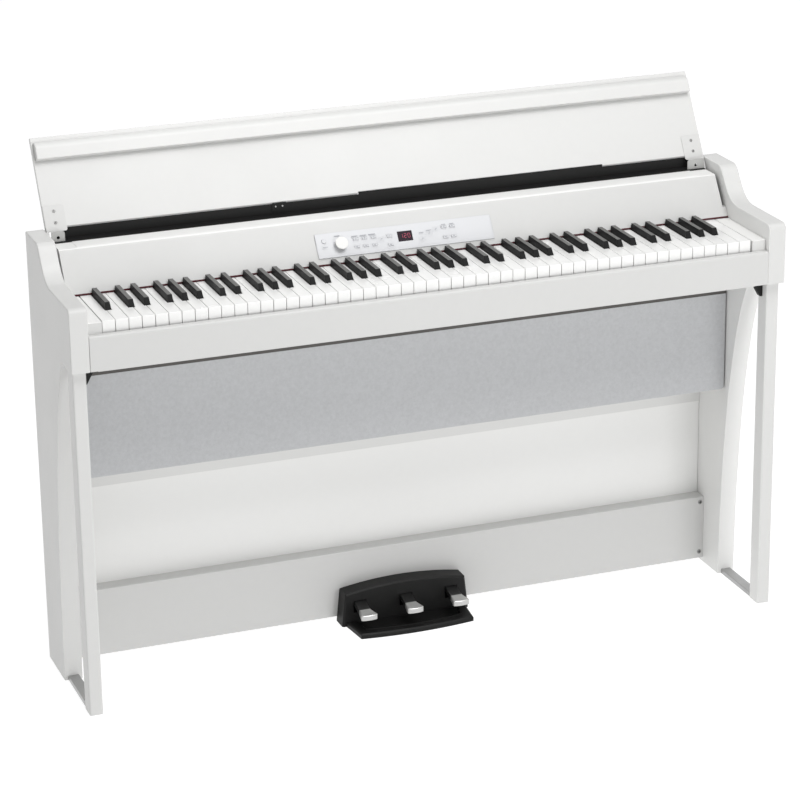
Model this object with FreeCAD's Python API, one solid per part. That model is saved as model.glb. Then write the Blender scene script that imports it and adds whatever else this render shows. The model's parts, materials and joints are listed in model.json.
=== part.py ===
import FreeCAD, Part
import os
from math import atan2, cos, radians, sin

V = FreeCAD.Vector
os.makedirs("parts", exist_ok=True)

# Digital piano on a stand, lid open.  Millimetres, +Z up, +X to the player's right.
# While it is drawn, y is counted from the front of the arms towards the wall.
# The finished solids are moved so that the origin is under the middle of the whole.

# ---- across the width ------------------------------------------------------
key_pitch = 23.5
white_key_count = 52
cheek_width = 28.5
arm_thickness = 33.5

# ---- up the height: each level stands on the one before it ------------------
knee_height = 643.0
key_bed_thickness = 18.0
bed_pan_drop = 7.0
bed_pan_setback = 4.0
slip_height = 63.0
key_reveal = 20.0
arm_rise = 31.0
housing_rise = 74.0
shoulder_rise = 61.0
strip_thickness = 4.0

# ---- into the depth ---------------------------------------------------------
slip_thickness = 14.0
key_overhang = 4.0
key_visible_length = 150.0
housing_depth = 85.0
strip_depth = 34.0
strip_lip_setback = 25.0
strip_lip_thickness = 2.0
strip_lip_rise = 18.0

# ---- case and stand -------------------------------------------------------
arm_nose_radius = 12.0
panel_edge = 1.5
step_run_front = 40.0
step_run_back = 47.0
shoulder_ease_low = 57.0
shoulder_ease_high = 25.0
rear_post_depth = 112.5
post_ease_low = (3.0, 0.51)
post_ease_high = (44.0, 0.87)
bracket_gap = 19.5
leg_width = 24.5
leg_depth = 33.5
leg_setback = 13.0
leg_inset = 4.5
leg_edge_radius = 3.0
foot_bar_width = 20.0
foot_bar_height = 9.0
leg_bracket_reach = 22.0
leg_bracket_drop = 24.0
leg_bracket_lip = 5.0
leg_bracket_thickness = 12.0
board_gap = 0.3
back_board_thickness = 15.0
pedal_board_depth = 45.0
pedal_board_top = 138.0
pedal_board_wall = 12.0
pedal_board_edge = 2.0
floor_gap = 9.0

# ---- keyboard -------------------------------------------------------------
key_gap = 1.0
key_height = 22.0
black_key_width = 10.5
black_key_top_width = 8.5
black_key_length = 94.0
black_key_rise = 12.0
black_key_slope = 7.0
key_tail_width = 9.0
key_tail_drop = 4.0
key_tail_length = 70.0
key_tail_past_pivot = 10.0
key_dip = 10.0
slip_radius = 5.0
slip_gap = 0.5
pivot_rail_radius = 4.0
stop_rail_setback = 8.0
stop_rail_depth = 14.0
felt_height = 2.9
felt_clearance = 0.6
felt_depth = 10.0

# ---- panel housing and controls ------------------------------------------
housing_slope = 0.66
housing_wall = 9.0
housing_radius = 9.0
housing_gap = 0.5
housing_end_step = 1.0
rear_cover_thickness = 12.0
inlet_x = -420.0
inlet_z = 690.0
inlet_width = 18.0
inlet_depth = 8.0
inlet_barrel_radius = 5.0
inlet_bore_radius = 2.8
end_plate_width = 34.0
end_plate_rise = 14.0
end_plate_setback = 8.0
end_plate_thickness = 2.0
end_plate_radius = 5.0
end_plate_hole_radius = 3.0
plate_width = 338.0
plate_height = 46.0
plate_thickness = 1.5
plate_rise = 31.5
plate_lap = 5.0
button_width = 8.5
button_height = 4.2
button_proud = 1.2
button_travel = 1.2
button_depth = 4.0
button_clearance = 0.35
power_radius = 4.0
power_inset = 15.0
power_offset = 7.0
knob_radius = 9.0
knob_height = 9.0
knob_stem_radius = 3.0
knob_stem_length = 5.0
knob_clearance = 0.3
knob_spacing = 30.5
display_width = 28.0
display_height = 19.0
display_thickness = 2.4
display_offset = 1.0
circuit_thickness = 1.6
circuit_gap = 1.0

# ---- lid ------------------------------------------------------------------
lid_pivot_drop = 46.0
lid_pivot_setback = 41.7
lid_lean = 30.7
lid_nose_setback = 4.3
lid_foot_gap = 2.3
lid_thickness = 9.0
lid_skin_offset = 3.0
lid_edge_radius = 1.5
lid_nose_height = 35.0
lid_nose_lip = 9.0
lid_nose_depth = 13.0
lid_nose_inset = 4.0
lid_nose_round = 18.0
lid_notch = (-55.0, 430.0)
lid_notch_depth = 3.0
lid_side_gap = 1.0
lid_arm_thickness = 4.0
lid_arm_width = 16.0
lid_arm_gap = 1.5
lid_flange_width = 38.0
lid_flange_drop = 8.0
lid_flange_length = 40.0
lid_flange_thickness = 1.5
lid_flange_radius = 4.0
lid_screw_places = (8.0, 29.0)
pivot_pin_radius = 4.0
pivot_pin_clearance = 0.05

# ---- speakers -------------------------------------------------------------
grille_setback = 11.5
grille_height = 255.0
grille_thickness = 6.0
grille_corner_radius = 5.0
grille_edge_gap = 2.5
baffle_thickness = 12.0
woofer_inset = 209.0
woofer_radius = 50.0
woofer_depth = 45.0
tweeter_inset = 69.0
tweeter_radius = 19.0
tweeter_depth = 22.0
speaker_flange = 8.0
speaker_taper = 0.55

# ---- pedals ---------------------------------------------------------------
pedal_spacing = 92.0
pedal_width = 33.0
pedal_arm_width = 22.0
pedal_thickness = 10.0
pedal_bow = 3.0
pedal_corner_radius = 3.5
pedal_edge = 1.2
pedal_reach = 92.0
pedal_tip_length = 30.0
pedal_level = 42.0
pedal_arm_slope = 0.24
pedal_pivot_setback = 14.0
pedal_past_pivot = 6.0
pedal_shaft_radius = 3.0
pedal_shaft_clearance = 0.05
pedal_slot_clearance = 1.5
pedal_slot_drop = 12.0
pedal_slot_wall = 3.0
pedal_case_cheek = 28.5
pedal_case_flare = 7.0
pedal_case_shoulder = 65.0
pedal_case_crown = 76.0
pedal_case_depth = 35.0
pedal_case_edge = 3.0
tray_reach = 99.0
tray_inset = 1.0
tray_taper = 7.0
tray_height = 10.0
tray_bow = 9.0
tray_edge = 2.5
tray_rim = 16.0
tray_floor = 5.0
tray_ridge = 3.0
tray_ridge_rise = 1.5

# ---- fasteners ------------------------------------------------------------
screw_head_radius = 2.9
screw_head_sides = 16
screw_shank_sides = 6
screw_head_height = 1.4
screw_shank_radius = 1.8
screw_length = 8.0
board_screw_inset = 8.0
board_screw_low = 13.0
board_screw_high = 11.0

# ---- worked-out places ----------------------------------------------------
keyboard_half = white_key_count * key_pitch / 2
inner_half = keyboard_half + cheek_width
half_width = inner_half + arm_thickness
board_half = inner_half - board_gap

bed_top = knee_height + key_bed_thickness
slip_top = knee_height + slip_height
key_top = slip_top + key_reveal
key_bottom = key_top - key_height
arm_top = key_top + arm_rise
housing_foot = key_top + felt_clearance + felt_height
housing_top = key_top + housing_rise
case_height = arm_top + shoulder_rise
plate_centre = key_top + plate_rise

key_front = slip_thickness + key_overhang
key_back = key_front + key_visible_length
housing_back = key_back + housing_depth
case_depth = housing_back + strip_depth
key_pivot = key_back + key_tail_length
cover_front = case_depth - rear_cover_thickness
back_board_front = case_depth - back_board_thickness
pedal_board_front = case_depth - pedal_board_depth
rear_post_front = case_depth - rear_post_depth
grille_front = rear_post_front - grille_setback

face_tilt = atan2(housing_slope, 1.0)
face_out = V(0, -cos(face_tilt), sin(face_tilt))
face_up = V(0, sin(face_tilt), cos(face_tilt))

lid_pivot_y = case_depth - lid_pivot_setback
lid_pivot_z = housing_top - lid_pivot_drop
lid_reach = lid_pivot_y - lid_nose_setback
lid_foot = lid_pivot_y - key_back - lid_foot_gap
lid_half = inner_half - lid_side_gap
lean = radians(lid_lean)
lid_up = V(0, sin(lean), cos(lean))
lid_in = V(0, -cos(lean), sin(lean))
overall_depth = lid_pivot_y + lid_reach * sin(lean) + lid_skin_offset * cos(lean)
origin_shift = V(0, -overall_depth / 2, 0)
nodes = {}


def box(x, y, z):
    """A block between the pairs of limits x, y and z."""
    return Part.makeBox(x[1] - x[0], y[1] - y[0], z[1] - z[0], V(x[0], y[0], z[0]))


def extrude_x(edges, x0, x1):
    """Solid between x0 and x1 whose outline in the y-z plane is made of these edges."""
    wire = Part.Wire(Part.__sortEdges__(edges))
    wire.translate(V(x0, 0, 0))
    return Part.Face(wire).extrude(V(x1 - x0, 0, 0))


def outline(points, x=0.0):
    """Closed run of straight edges through (y, z) points."""
    corners = [V(x, y, z) for y, z in points]
    return [Part.LineSegment(a, b).toShape() for a, b in zip(corners, corners[1:] + corners[:1])]


def line(a, b):
    return Part.LineSegment(V(0, *a), V(0, *b)).toShape()


def bezier(*poles):
    curve = Part.BezierCurve()
    curve.setPoles([V(0, *pole) for pole in poles])
    return curve.toShape()


def cylinder(radius, length, base, axis):
    return Part.makeCylinder(radius, length, base, axis)


def mirrored(shape):
    return shape.mirror(V(0, 0, 0), V(1, 0, 0))


def both_sides(shape):
    """The piece and its mirror image on the other side, as one group of separate solids."""
    return Part.makeCompound([shape, mirrored(shape)])


def round_edges(shape, radius, wanted):
    """Fillet the edges for which wanted(edge) is true."""
    return shape.makeFillet(radius, [edge for edge in shape.Edges if wanted(edge)])


def ease_edges(shape, size, wanted):
    """Chamfer the edges for which wanted(edge) is true."""
    return shape.makeChamfer(size, [edge for edge in shape.Edges if wanted(edge)])


def is_along(edge, axis):
    """True for a straight edge parallel to the given axis letter."""
    if edge.Curve.TypeId != "Part::GeomLine":
        return False
    return abs(abs(getattr(edge.Curve.Direction, axis)) - 1) < 1e-6


def plan(points, z, bow=None):
    """Face at height z through (x, y) points; bow bends its first side out through that point."""
    corners = [V(x, y, z) for x, y in points]
    sides = [Part.LineSegment(a, b).toShape() for a, b in zip(corners, corners[1:] + corners[:1])]
    if bow:
        sides[0] = Part.Arc(corners[0], V(bow[0], bow[1], z), corners[1]).toShape()
    return Part.Face(Part.Wire(sides))


def face_y(z):
    """Depth of the housing's sloping front face at height z."""
    return key_back + (z - housing_foot) * housing_slope


def on_face(x, z, out=0.0):
    """Point of the sloping face at x and height z, moved out of the face by a distance."""
    return V(x, face_y(z), z) + face_out * out


def face_block(x, z, width, height, out_from, out_to):
    """Block square to the sloping face, centred on its point at x and height z."""
    block = Part.makeBox(width, height, out_to - out_from, V(-width / 2, -height / 2, out_from))
    turn = FreeCAD.Rotation(V(1, 0, 0), face_up, face_out, "XYZ")
    block.Placement = FreeCAD.Placement(on_face(x, z), turn)
    return block


def lid_point(along, inward, x=0.0):
    """Point on the lid: along is counted from the pivot, inward from the outer skin."""
    pivot = V(x, lid_pivot_y, lid_pivot_z)
    return pivot + lid_up * along + lid_in * (inward - lid_skin_offset)


def lid_block(x, along, inward):
    """Block in the lid's own directions."""
    corners = [(along[0], inward[0]), (along[1], inward[0]), (along[1], inward[1]), (along[0], inward[1])]
    points = [lid_point(a, i) for a, i in corners]
    return extrude_x(outline([(p.y, p.z) for p in points]), x[0], x[1])


def prism(sides, radius, length, base, axis):
    """Regular prism along the axis, which stands for a small round part with few faces."""
    across = axis.cross(V(1, 0, 0)) * radius
    corners = [base + FreeCAD.Rotation(axis, i * 360 / sides).multVec(across) for i in range(sides)]
    return Part.Face(Part.makePolygon(corners + corners[:1])).extrude(axis * length)


def screw(seat, axis):
    """Pan-head screw: the head sits on the seat, and a plain shank runs against the axis."""
    head = prism(screw_head_sides, screw_head_radius, screw_head_height, seat, axis)
    shank = prism(screw_shank_sides, screw_shank_radius, screw_length, seat - axis * screw_length, axis)
    return head.fuse(shank)


# ---- case -----------------------------------------------------------------
def post_pole(ease):
    """Pole of the rear post's front curve: how far it leans forward, at a share of the knee height."""
    return (rear_post_front - ease[0], ease[1] * knee_height)


def side_panel():
    """Right side: arm, stepped shoulder and rear post in one board, square to the floor."""
    nose = arm_nose_radius
    nose_middle = nose * (1 - cos(radians(45)))
    step_front = key_back - step_run_front
    step_back = key_back + step_run_back
    curve_front = leg_back + bracket_gap
    edges = [
        line((0, knee_height), (0, arm_top - nose)),
        Part.Arc(V(0, 0, arm_top - nose), V(0, nose_middle, arm_top - nose_middle),
                 V(0, nose, arm_top)).toShape(),
        line((nose, arm_top), (step_front, arm_top)),
        bezier((step_front, arm_top), (step_front + shoulder_ease_low, arm_top),
               (step_back - shoulder_ease_high, case_height), (step_back, case_height)),
        line((step_back, case_height), (case_depth, case_height)),
        line((case_depth, case_height), (case_depth, 0)),
        line((case_depth, 0), (rear_post_front, 0)),
        line((rear_post_front, 0), (rear_post_front, foot_bar_height)),
        bezier((rear_post_front, foot_bar_height), post_pole(post_ease_low), post_pole(post_ease_high),
               (curve_front, knee_height)),
        line((curve_front, knee_height), (0, knee_height)),
    ]
    panel = extrude_x(edges, inner_half, half_width)
    panel = ease_edges(panel, panel_edge,
                       lambda e: abs(e.BoundBox.XLength) < 1e-6 and e.CenterOfMass.z > arm_top - nose - 1
                       and e.CenterOfMass.y < case_depth - 1)
    bore = cylinder(pivot_pin_radius, arm_thickness / 2, V(inner_half, lid_pivot_y, lid_pivot_z), V(1, 0, 0))
    return panel.cut(bore)


leg_outer = half_width - leg_inset
leg_back = leg_setback + leg_depth
nodes["side_panel_right"] = side_panel()
nodes["side_panel_left"] = mirrored(nodes["side_panel_right"])

front_leg = box((leg_outer - leg_width, leg_outer), (leg_setback, leg_back), (0, knee_height))
front_leg = round_edges(front_leg, leg_edge_radius,
                        lambda e: is_along(e, "z") and e.CenterOfMass.y < leg_setback + 1)
nodes["front_legs"] = both_sides(front_leg)

leg_middle = leg_outer - leg_width / 2
foot_bar = box((leg_middle - foot_bar_width / 2, leg_middle + foot_bar_width / 2),
               (leg_back, rear_post_front), (0, foot_bar_height))
nodes["foot_bars"] = both_sides(foot_bar)

leg_inner = leg_outer - leg_width
bracket_foot = knee_height - leg_bracket_drop
bracket_corners = [V(x, leg_back - leg_depth / 2, z) for x, z in (
    (leg_inner, knee_height), (leg_inner - leg_bracket_reach, knee_height),
    (leg_inner - leg_bracket_lip, bracket_foot), (leg_inner, bracket_foot))]
bracket_side = Part.Face(Part.makePolygon(bracket_corners + bracket_corners[:1]))
leg_bracket = bracket_side.extrude(V(0, leg_bracket_thickness, 0))
nodes["leg_brackets"] = both_sides(leg_bracket)

nodes["back_board"] = box((-board_half, board_half), (back_board_front, case_depth), (floor_gap, knee_height))

pedal_board = box((-board_half, board_half), (pedal_board_front, back_board_front),
                  (floor_gap, pedal_board_top))
pedal_board = pedal_board.cut(box((-board_half + pedal_board_wall, board_half - pedal_board_wall),
                                  (pedal_board_front + pedal_board_wall, back_board_front),
                                  (0, pedal_board_top - pedal_board_wall)))
nodes["pedal_board"] = round_edges(pedal_board, pedal_board_edge,
                                   lambda e: is_along(e, "x") and e.CenterOfMass.z > pedal_board_top - 1
                                   and e.CenterOfMass.y < pedal_board_front + 1)

# ---- key bed, slip and blocks ---------------------------------------------
key_bed = box((-board_half, board_half), (slip_thickness, cover_front), (knee_height, bed_top))
pan_half = leg_inner - leg_bracket_reach - board_gap
bed_pan = box((-pan_half, pan_half), (slip_thickness + bed_pan_setback, grille_front - bed_pan_setback),
              (knee_height - bed_pan_drop, knee_height))
nodes["key_bed"] = key_bed.fuse(bed_pan).removeSplitter()

slip = box((-board_half, board_half), (slip_gap, slip_thickness), (knee_height, slip_top))
nodes["key_slip"] = round_edges(slip, slip_radius,
                                lambda e: is_along(e, "x") and e.CenterOfMass.z > slip_top - 1
                                and e.CenterOfMass.y < slip_gap + 1)

cheek = box((keyboard_half + key_gap, board_half), (slip_thickness, key_back), (bed_top, key_top))
nodes["key_blocks"] = both_sides(cheek)

rail_top = key_bottom - board_gap
pivot_rail = box((-keyboard_half, keyboard_half),
                 (key_pivot - pivot_rail_radius, key_pivot + pivot_rail_radius),
                 (bed_top, rail_top - pivot_rail_radius))
pivot_rail = pivot_rail.fuse(cylinder(pivot_rail_radius, 2 * keyboard_half,
                                      V(-keyboard_half, key_pivot, rail_top - pivot_rail_radius), V(1, 0, 0)))
stop_front = key_front + stop_rail_setback
stop_rail = box((-keyboard_half, keyboard_half), (stop_front, stop_front + stop_rail_depth),
                (bed_top, rail_top - key_dip))
nodes["key_rails"] = Part.makeCompound([pivot_rail.removeSplitter(), stop_rail])

nodes["felt_strip"] = box((-board_half, board_half), (key_back, key_back + felt_depth),
                          (housing_foot - felt_height, housing_foot))

# ---- keys -----------------------------------------------------------------
NOTE_NAMES = ["a", "a_sharp", "b", "c", "c_sharp", "d", "d_sharp", "e", "f", "f_sharp", "g", "g_sharp"]
OCTAVE_WHITES = ["c", "d", "e", "f", "g", "a", "b"]
BLACK_OFFSET = {"c_sharp": 1.5 * 3 / 5, "d_sharp": 3.5 * 3 / 5,
                "f_sharp": 3 + 1.5 * 4 / 7, "g_sharp": 3 + 3.5 * 4 / 7, "a_sharp": 3 + 5.5 * 4 / 7}


def keyboard():
    """Every key from the lowest: its name, its left edge and, for a black key, its middle."""
    first_octave = -keyboard_half - OCTAVE_WHITES.index("a") * key_pitch
    keys = []
    white = 0
    for number in range(88):
        name = NOTE_NAMES[number % 12]
        octave = first_octave + 7 * key_pitch * ((number + 9) // 12)
        if name in BLACK_OFFSET:
            keys.append((name, octave + BLACK_OFFSET[name] * key_pitch, True))
        else:
            keys.append((name, -keyboard_half + white * key_pitch, False))
            white += 1
    return keys


def key_tail(middle):
    """The lever behind the visible key, which lies on the pivot rail."""
    return box((middle - key_tail_width / 2, middle + key_tail_width / 2),
               (key_back - 1, key_pivot + key_tail_past_pivot), (key_bottom, key_top - key_tail_drop))


def white_key(left, below, above):
    """White key; below and above are the middles of its black neighbours, or None."""
    x0 = left + key_gap / 2
    x1 = left + key_pitch - key_gap / 2
    notch = key_back - black_key_length - key_gap
    half_slot = black_key_width / 2 + key_gap
    n0 = below + half_slot if below is not None else x0
    n1 = above - half_slot if above is not None else x1
    points = [(x0, key_front), (x1, key_front), (x1, notch), (n1, notch), (n1, key_back), (n0, key_back),
              (n0, notch), (x0, notch)]
    corners = []
    for x, y in points:
        if not corners or (abs(x - corners[-1].x) + abs(y - corners[-1].y)) > 1e-6:
            corners.append(V(x, y, key_bottom))
    kept = [p for i, p in enumerate(corners)
            if (p - corners[i - 1]).cross(corners[(i + 1) % len(corners)] - p).Length > 1e-6]
    key = Part.Face(Part.makePolygon(kept + kept[:1])).extrude(V(0, 0, key_height))
    middle = (n0 + n1) / 2
    return key.fuse(key_tail(middle)).removeSplitter()


def black_key(middle):
    """Black key: a sloping nose and sides that lean in towards the top, on a narrow lever."""
    y0 = key_back - black_key_length
    y1 = key_back - board_gap
    top = key_top + black_key_rise
    base = key_top - key_height / 2

    def ring(half, front, z):
        corners = [V(middle - half, front, z), V(middle + half, front, z), V(middle + half, y1, z),
                   V(middle - half, y1, z)]
        return Part.makePolygon(corners + corners[:1])

    half = black_key_width / 2
    skirt = Part.makeLoft([ring(half, y0, base), ring(half, y0, key_top)], True, True)
    cap = Part.makeLoft([ring(half, y0, key_top), ring(black_key_top_width / 2, y0 + black_key_slope, top)],
                        True, True)
    lever = box((middle - key_tail_width / 2, middle + key_tail_width / 2),
                (y0 + key_gap, key_pivot + key_tail_past_pivot), (key_bottom, key_top - key_tail_drop))
    return skirt.fuse(cap).fuse(lever).removeSplitter()


def key_groups():
    keys = keyboard()
    groups = {}
    for number, (name, place, black) in enumerate(keys):
        if black:
            solid = black_key(place)
        else:
            before = keys[number - 1] if number else None
            after = keys[number + 1] if number + 1 < len(keys) else None
            below = before[1] if before and before[2] else None
            above = after[1] if after and after[2] else None
            solid = white_key(place, below, above)
        groups.setdefault("keys_" + name, []).append(solid)
    return {name: Part.makeCompound(solids) for name, solids in groups.items()}


nodes.update(key_groups())

# ---- panel housing --------------------------------------------------------
inner_top = housing_top - housing_wall
slant_wall = housing_wall / cos(face_tilt)
housing_edges = outline([(key_back, housing_foot), (face_y(housing_top), housing_top),
                         (housing_back, housing_top), (housing_back, inner_top),
                         (face_y(inner_top) + slant_wall, inner_top), (key_back + slant_wall, housing_foot)])
housing = extrude_x(housing_edges, -inner_half + housing_gap, inner_half - housing_gap)
housing = round_edges(housing, housing_radius,
                      lambda e: is_along(e, "x") and abs(e.CenterOfMass.z - housing_top) < 1
                      and e.CenterOfMass.y < housing_back - 1)
arm_outer = inner_half - lid_arm_gap
arm_inner = arm_outer - lid_arm_thickness
slot_inner = arm_inner - lid_arm_gap
slot_foot = lid_pivot_z - lid_arm_width / 2 - lid_arm_gap
arm_slot = box((slot_inner, half_width), (key_back, case_depth), (slot_foot, case_height))
end_step = box((slot_inner - end_plate_width, half_width), (key_back, case_depth),
               (housing_top - housing_end_step, case_height))
housing = housing.cut(both_sides(arm_slot)).cut(both_sides(end_step))
window_width = plate_width - 2 * plate_lap
window_height = plate_height - 2 * plate_lap
window = face_block(0, plate_centre, window_width, window_height, -3 * housing_wall, 1)
nodes["panel_housing"] = housing.cut(window)

rear_cover = box((-board_half, board_half), (cover_front, case_depth),
                 (knee_height, housing_top - strip_thickness))
rear_cover = rear_cover.cut(both_sides(arm_slot))


def power_inlet():
    """Recess in the rear cover with a low-voltage socket: a round barrel with a bore, in a square well."""
    well = box((inlet_x - inlet_width / 2, inlet_x + inlet_width / 2), (case_depth - inlet_depth, case_depth),
               (inlet_z - inlet_width / 2, inlet_z + inlet_width / 2))
    seat = V(inlet_x, case_depth - inlet_depth, inlet_z)
    barrel = cylinder(inlet_barrel_radius, inlet_depth - 1, seat, V(0, 1, 0))
    bore = cylinder(inlet_bore_radius, inlet_depth - 1, seat, V(0, 1, 0))
    return well.cut(barrel.cut(bore))


nodes["rear_cover"] = rear_cover.cut(power_inlet())


def end_plate():
    """Upturned end of the top strip, with a round hole, in front of the right lid arm."""
    front = housing_back + end_plate_setback
    top = housing_top + end_plate_rise
    plate = box((slot_inner - end_plate_width, slot_inner), (front, front + end_plate_thickness),
                (housing_top - strip_thickness, top))
    plate = round_edges(plate, end_plate_radius,
                        lambda e: is_along(e, "y") and e.CenterOfMass.z > top - 1
                        and e.CenterOfMass.x < slot_inner - 1)
    middle = V(slot_inner - end_plate_width / 2, front - 1, housing_top + end_plate_rise / 2)
    return plate.cut(cylinder(end_plate_hole_radius, end_plate_thickness + 2, middle, V(0, 1, 0)))


strip = box((-slot_inner, slot_inner), (housing_back, case_depth),
            (housing_top - strip_thickness, housing_top))
lip_half = slot_inner - end_plate_width
lip_front = housing_back + strip_lip_setback
strip_lip = box((-lip_half, lip_half), (lip_front, lip_front + strip_lip_thickness),
                (housing_top - strip_thickness, housing_top + strip_lip_rise))
nodes["top_strip"] = strip.fuse(strip_lip).fuse(both_sides(end_plate())).removeSplitter()

# ---- control plate --------------------------------------------------------
# Middle of each button: x, and the height above the middle of the plate.
BUTTONS = {
    "button_left_upper_1": (-94, 5), "button_left_upper_2": (-77, 5), "button_left_upper_3": (-60, 5),
    "button_left_lower_1": (-94, -7), "button_left_lower_2": (-77, -7), "button_left_lower_3": (-60, -7),
    "button_middle_upper": (-30, 3.5), "button_middle_lower": (-30, -10),
    "button_right_upper_1": (76, 8), "button_right_upper_2": (92, 8),
    "button_right_lower_1": (76, -8), "button_right_lower_2": (92, -8),
}
BUTTONS = {name: (x, plate_centre + rise) for name, (x, rise) in BUTTONS.items()}
power_x = power_inset - plate_width / 2
knob_x = power_x + knob_spacing
display_z = plate_centre + display_offset
power_z = plate_centre + power_offset
button_inner = plate_thickness + button_proud - button_depth
past_plate = plate_thickness + 1

plate = face_block(0, plate_centre, plate_width, plate_height, 0, plate_thickness)
hole_width = button_width + 2 * button_clearance
hole_height = button_height + 2 * button_clearance
for x, z in BUTTONS.values():
    plate = plate.cut(face_block(x, z, hole_width, hole_height, -1, past_plate))
plate = plate.cut(face_block(0, display_z, display_width, display_height, -1, past_plate))
plate = plate.cut(cylinder(knob_stem_radius + knob_clearance, past_plate + 1, on_face(knob_x, plate_centre, -1),
                           face_out))
plate = plate.cut(cylinder(power_radius + button_clearance, past_plate + 1, on_face(power_x, power_z, -1),
                           face_out))
nodes["control_plate"] = plate
nodes["display_window"] = face_block(0, display_z, display_width, display_height,
                                     plate_thickness - display_thickness, plate_thickness)
for name, (x, z) in BUTTONS.items():
    nodes[name] = face_block(x, z, button_width, button_height, button_inner, plate_thickness + button_proud)
nodes["power_button"] = cylinder(power_radius, button_depth, on_face(power_x, power_z, button_inner), face_out)
knob_seat = plate_thickness + knob_clearance
knob = cylinder(knob_radius, knob_height, on_face(knob_x, plate_centre, knob_seat), face_out)
knob = knob.fuse(cylinder(knob_stem_radius, knob_stem_length,
                          on_face(knob_x, plate_centre, knob_seat - knob_stem_length), face_out))
nodes["volume_knob"] = knob.removeSplitter()

circuit_out = button_inner - button_travel - circuit_gap
nodes["control_board"] = face_block(0, plate_centre, window_width - 2 * board_gap,
                                    window_height - 2 * board_gap, circuit_out - circuit_thickness, circuit_out)

# ---- lid ------------------------------------------------------------------
board = lid_block((-lid_half, lid_half), (lid_foot, lid_reach), (0, lid_thickness))
board = round_edges(board, lid_edge_radius, lambda e: is_along(e, "x"))
notch = lid_block(lid_notch, (lid_foot - 1, lid_foot + lid_notch_depth), (-1, lid_thickness + 1))
nodes["lid_board"] = board.cut(notch)


def lid_nose():
    """Hand rail along the lid's edge: flat underside and face, rounded over towards the edge."""
    start = lid_reach - lid_nose_lip
    stop = start - lid_nose_height
    crown = lid_thickness + lid_nose_depth
    places = [(start, lid_thickness), (stop, lid_thickness), (stop, crown), (start - lid_nose_round, crown)]
    corners = [lid_point(along, inward) for along, inward in places]
    bulge = lid_point(start - lid_nose_round * (1 - sin(radians(45))),
                      lid_thickness + lid_nose_depth * cos(radians(45)))
    sides = [Part.LineSegment(p, q).toShape() for p, q in zip(corners, corners[1:])]
    sides.append(Part.Arc(corners[-1], bulge, corners[0]).toShape())
    return extrude_x(sides, -lid_half + lid_nose_inset, lid_half - lid_nose_inset)


nodes["lid_nose"] = lid_nose()


def lid_arm():
    """Right arm: a flat bar from its pivot eye, with a flange that is screwed under the lid."""
    bar = lid_block((arm_inner, arm_outer), (0, lid_foot),
                    (lid_skin_offset - lid_arm_width / 2, lid_skin_offset + lid_arm_width / 2))
    pivot = V(arm_inner, lid_pivot_y, lid_pivot_z)
    bar = bar.fuse(cylinder(lid_arm_width / 2, lid_arm_thickness, pivot, V(1, 0, 0)))
    flange = lid_block((arm_outer - lid_flange_width, arm_outer),
                       (lid_foot - lid_flange_drop, lid_foot + lid_flange_length),
                       (lid_thickness, lid_thickness + lid_flange_thickness))
    inner_side = arm_outer - lid_flange_width
    flange = round_edges(flange, lid_flange_radius,
                         lambda e: e.BoundBox.XLength < 1e-6 and e.Length < 2 * lid_flange_thickness
                         and abs(e.CenterOfMass.x - inner_side) < 1e-6)
    eye = cylinder(pivot_pin_radius + pivot_pin_clearance, lid_arm_thickness, pivot, V(1, 0, 0))
    return bar.fuse(flange).cut(eye)


nodes["lid_arms"] = both_sides(lid_arm().removeSplitter())
pin = cylinder(pivot_pin_radius, inner_half + arm_thickness / 2 - slot_inner,
               V(slot_inner, lid_pivot_y, lid_pivot_z), V(1, 0, 0))
nodes["lid_pivot_pins"] = both_sides(pin)

# ---- speakers -------------------------------------------------------------
grille_bottom = knee_height - grille_height
grille = box((-inner_half + grille_edge_gap, inner_half - grille_edge_gap),
             (grille_front, grille_front + grille_thickness), (grille_bottom, knee_height - board_gap))
nodes["speaker_grille"] = round_edges(grille, grille_corner_radius, lambda e: is_along(e, "y"))
baffle_front = grille_front + grille_thickness
baffle_back = baffle_front + baffle_thickness
speaker_z = (grille_bottom + knee_height) / 2
woofer_x = board_half - woofer_inset
tweeter_x = board_half - tweeter_inset
baffle = box((-board_half, board_half), (baffle_front, baffle_back), (grille_bottom, knee_height))
for x, radius in ((woofer_x, woofer_radius), (tweeter_x, tweeter_radius)):
    hole = cylinder(radius, baffle_thickness, V(x, baffle_front, speaker_z), V(0, 1, 0))
    baffle = baffle.cut(both_sides(hole))
nodes["speaker_baffle"] = baffle
nodes["speaker_box_floor"] = box((-board_half, board_half), (baffle_back, back_board_front),
                                 (grille_bottom, grille_bottom + baffle_thickness))


def driver(x, radius, depth):
    """Loudspeaker on the back of the baffle: its basket tapers from the flange to the magnet."""
    seat = V(x, baffle_back, speaker_z)
    return Part.makeCone(radius + speaker_flange, speaker_taper * radius, depth, seat, V(0, 1, 0))


nodes["woofers"] = both_sides(driver(woofer_x, woofer_radius, woofer_depth))
nodes["tweeters"] = both_sides(driver(tweeter_x, tweeter_radius, tweeter_depth))

# ---- pedals ---------------------------------------------------------------
case_front = pedal_board_front - pedal_case_depth
case_half = pedal_spacing + pedal_case_cheek
tip_front = pedal_board_front - pedal_reach
tip_back = tip_front + pedal_tip_length
pedal_pivot = pedal_board_front - pedal_pivot_setback


def pedal_top(y):
    """Height of the pedals' upper side: level at the tip, then rising along the arm."""
    return pedal_level + pedal_arm_slope * max(0, y - tip_back)


shaft_z = pedal_top(pedal_pivot) - pedal_thickness / 2
slot_foot = pedal_top(case_front) - pedal_thickness - pedal_slot_drop


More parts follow.
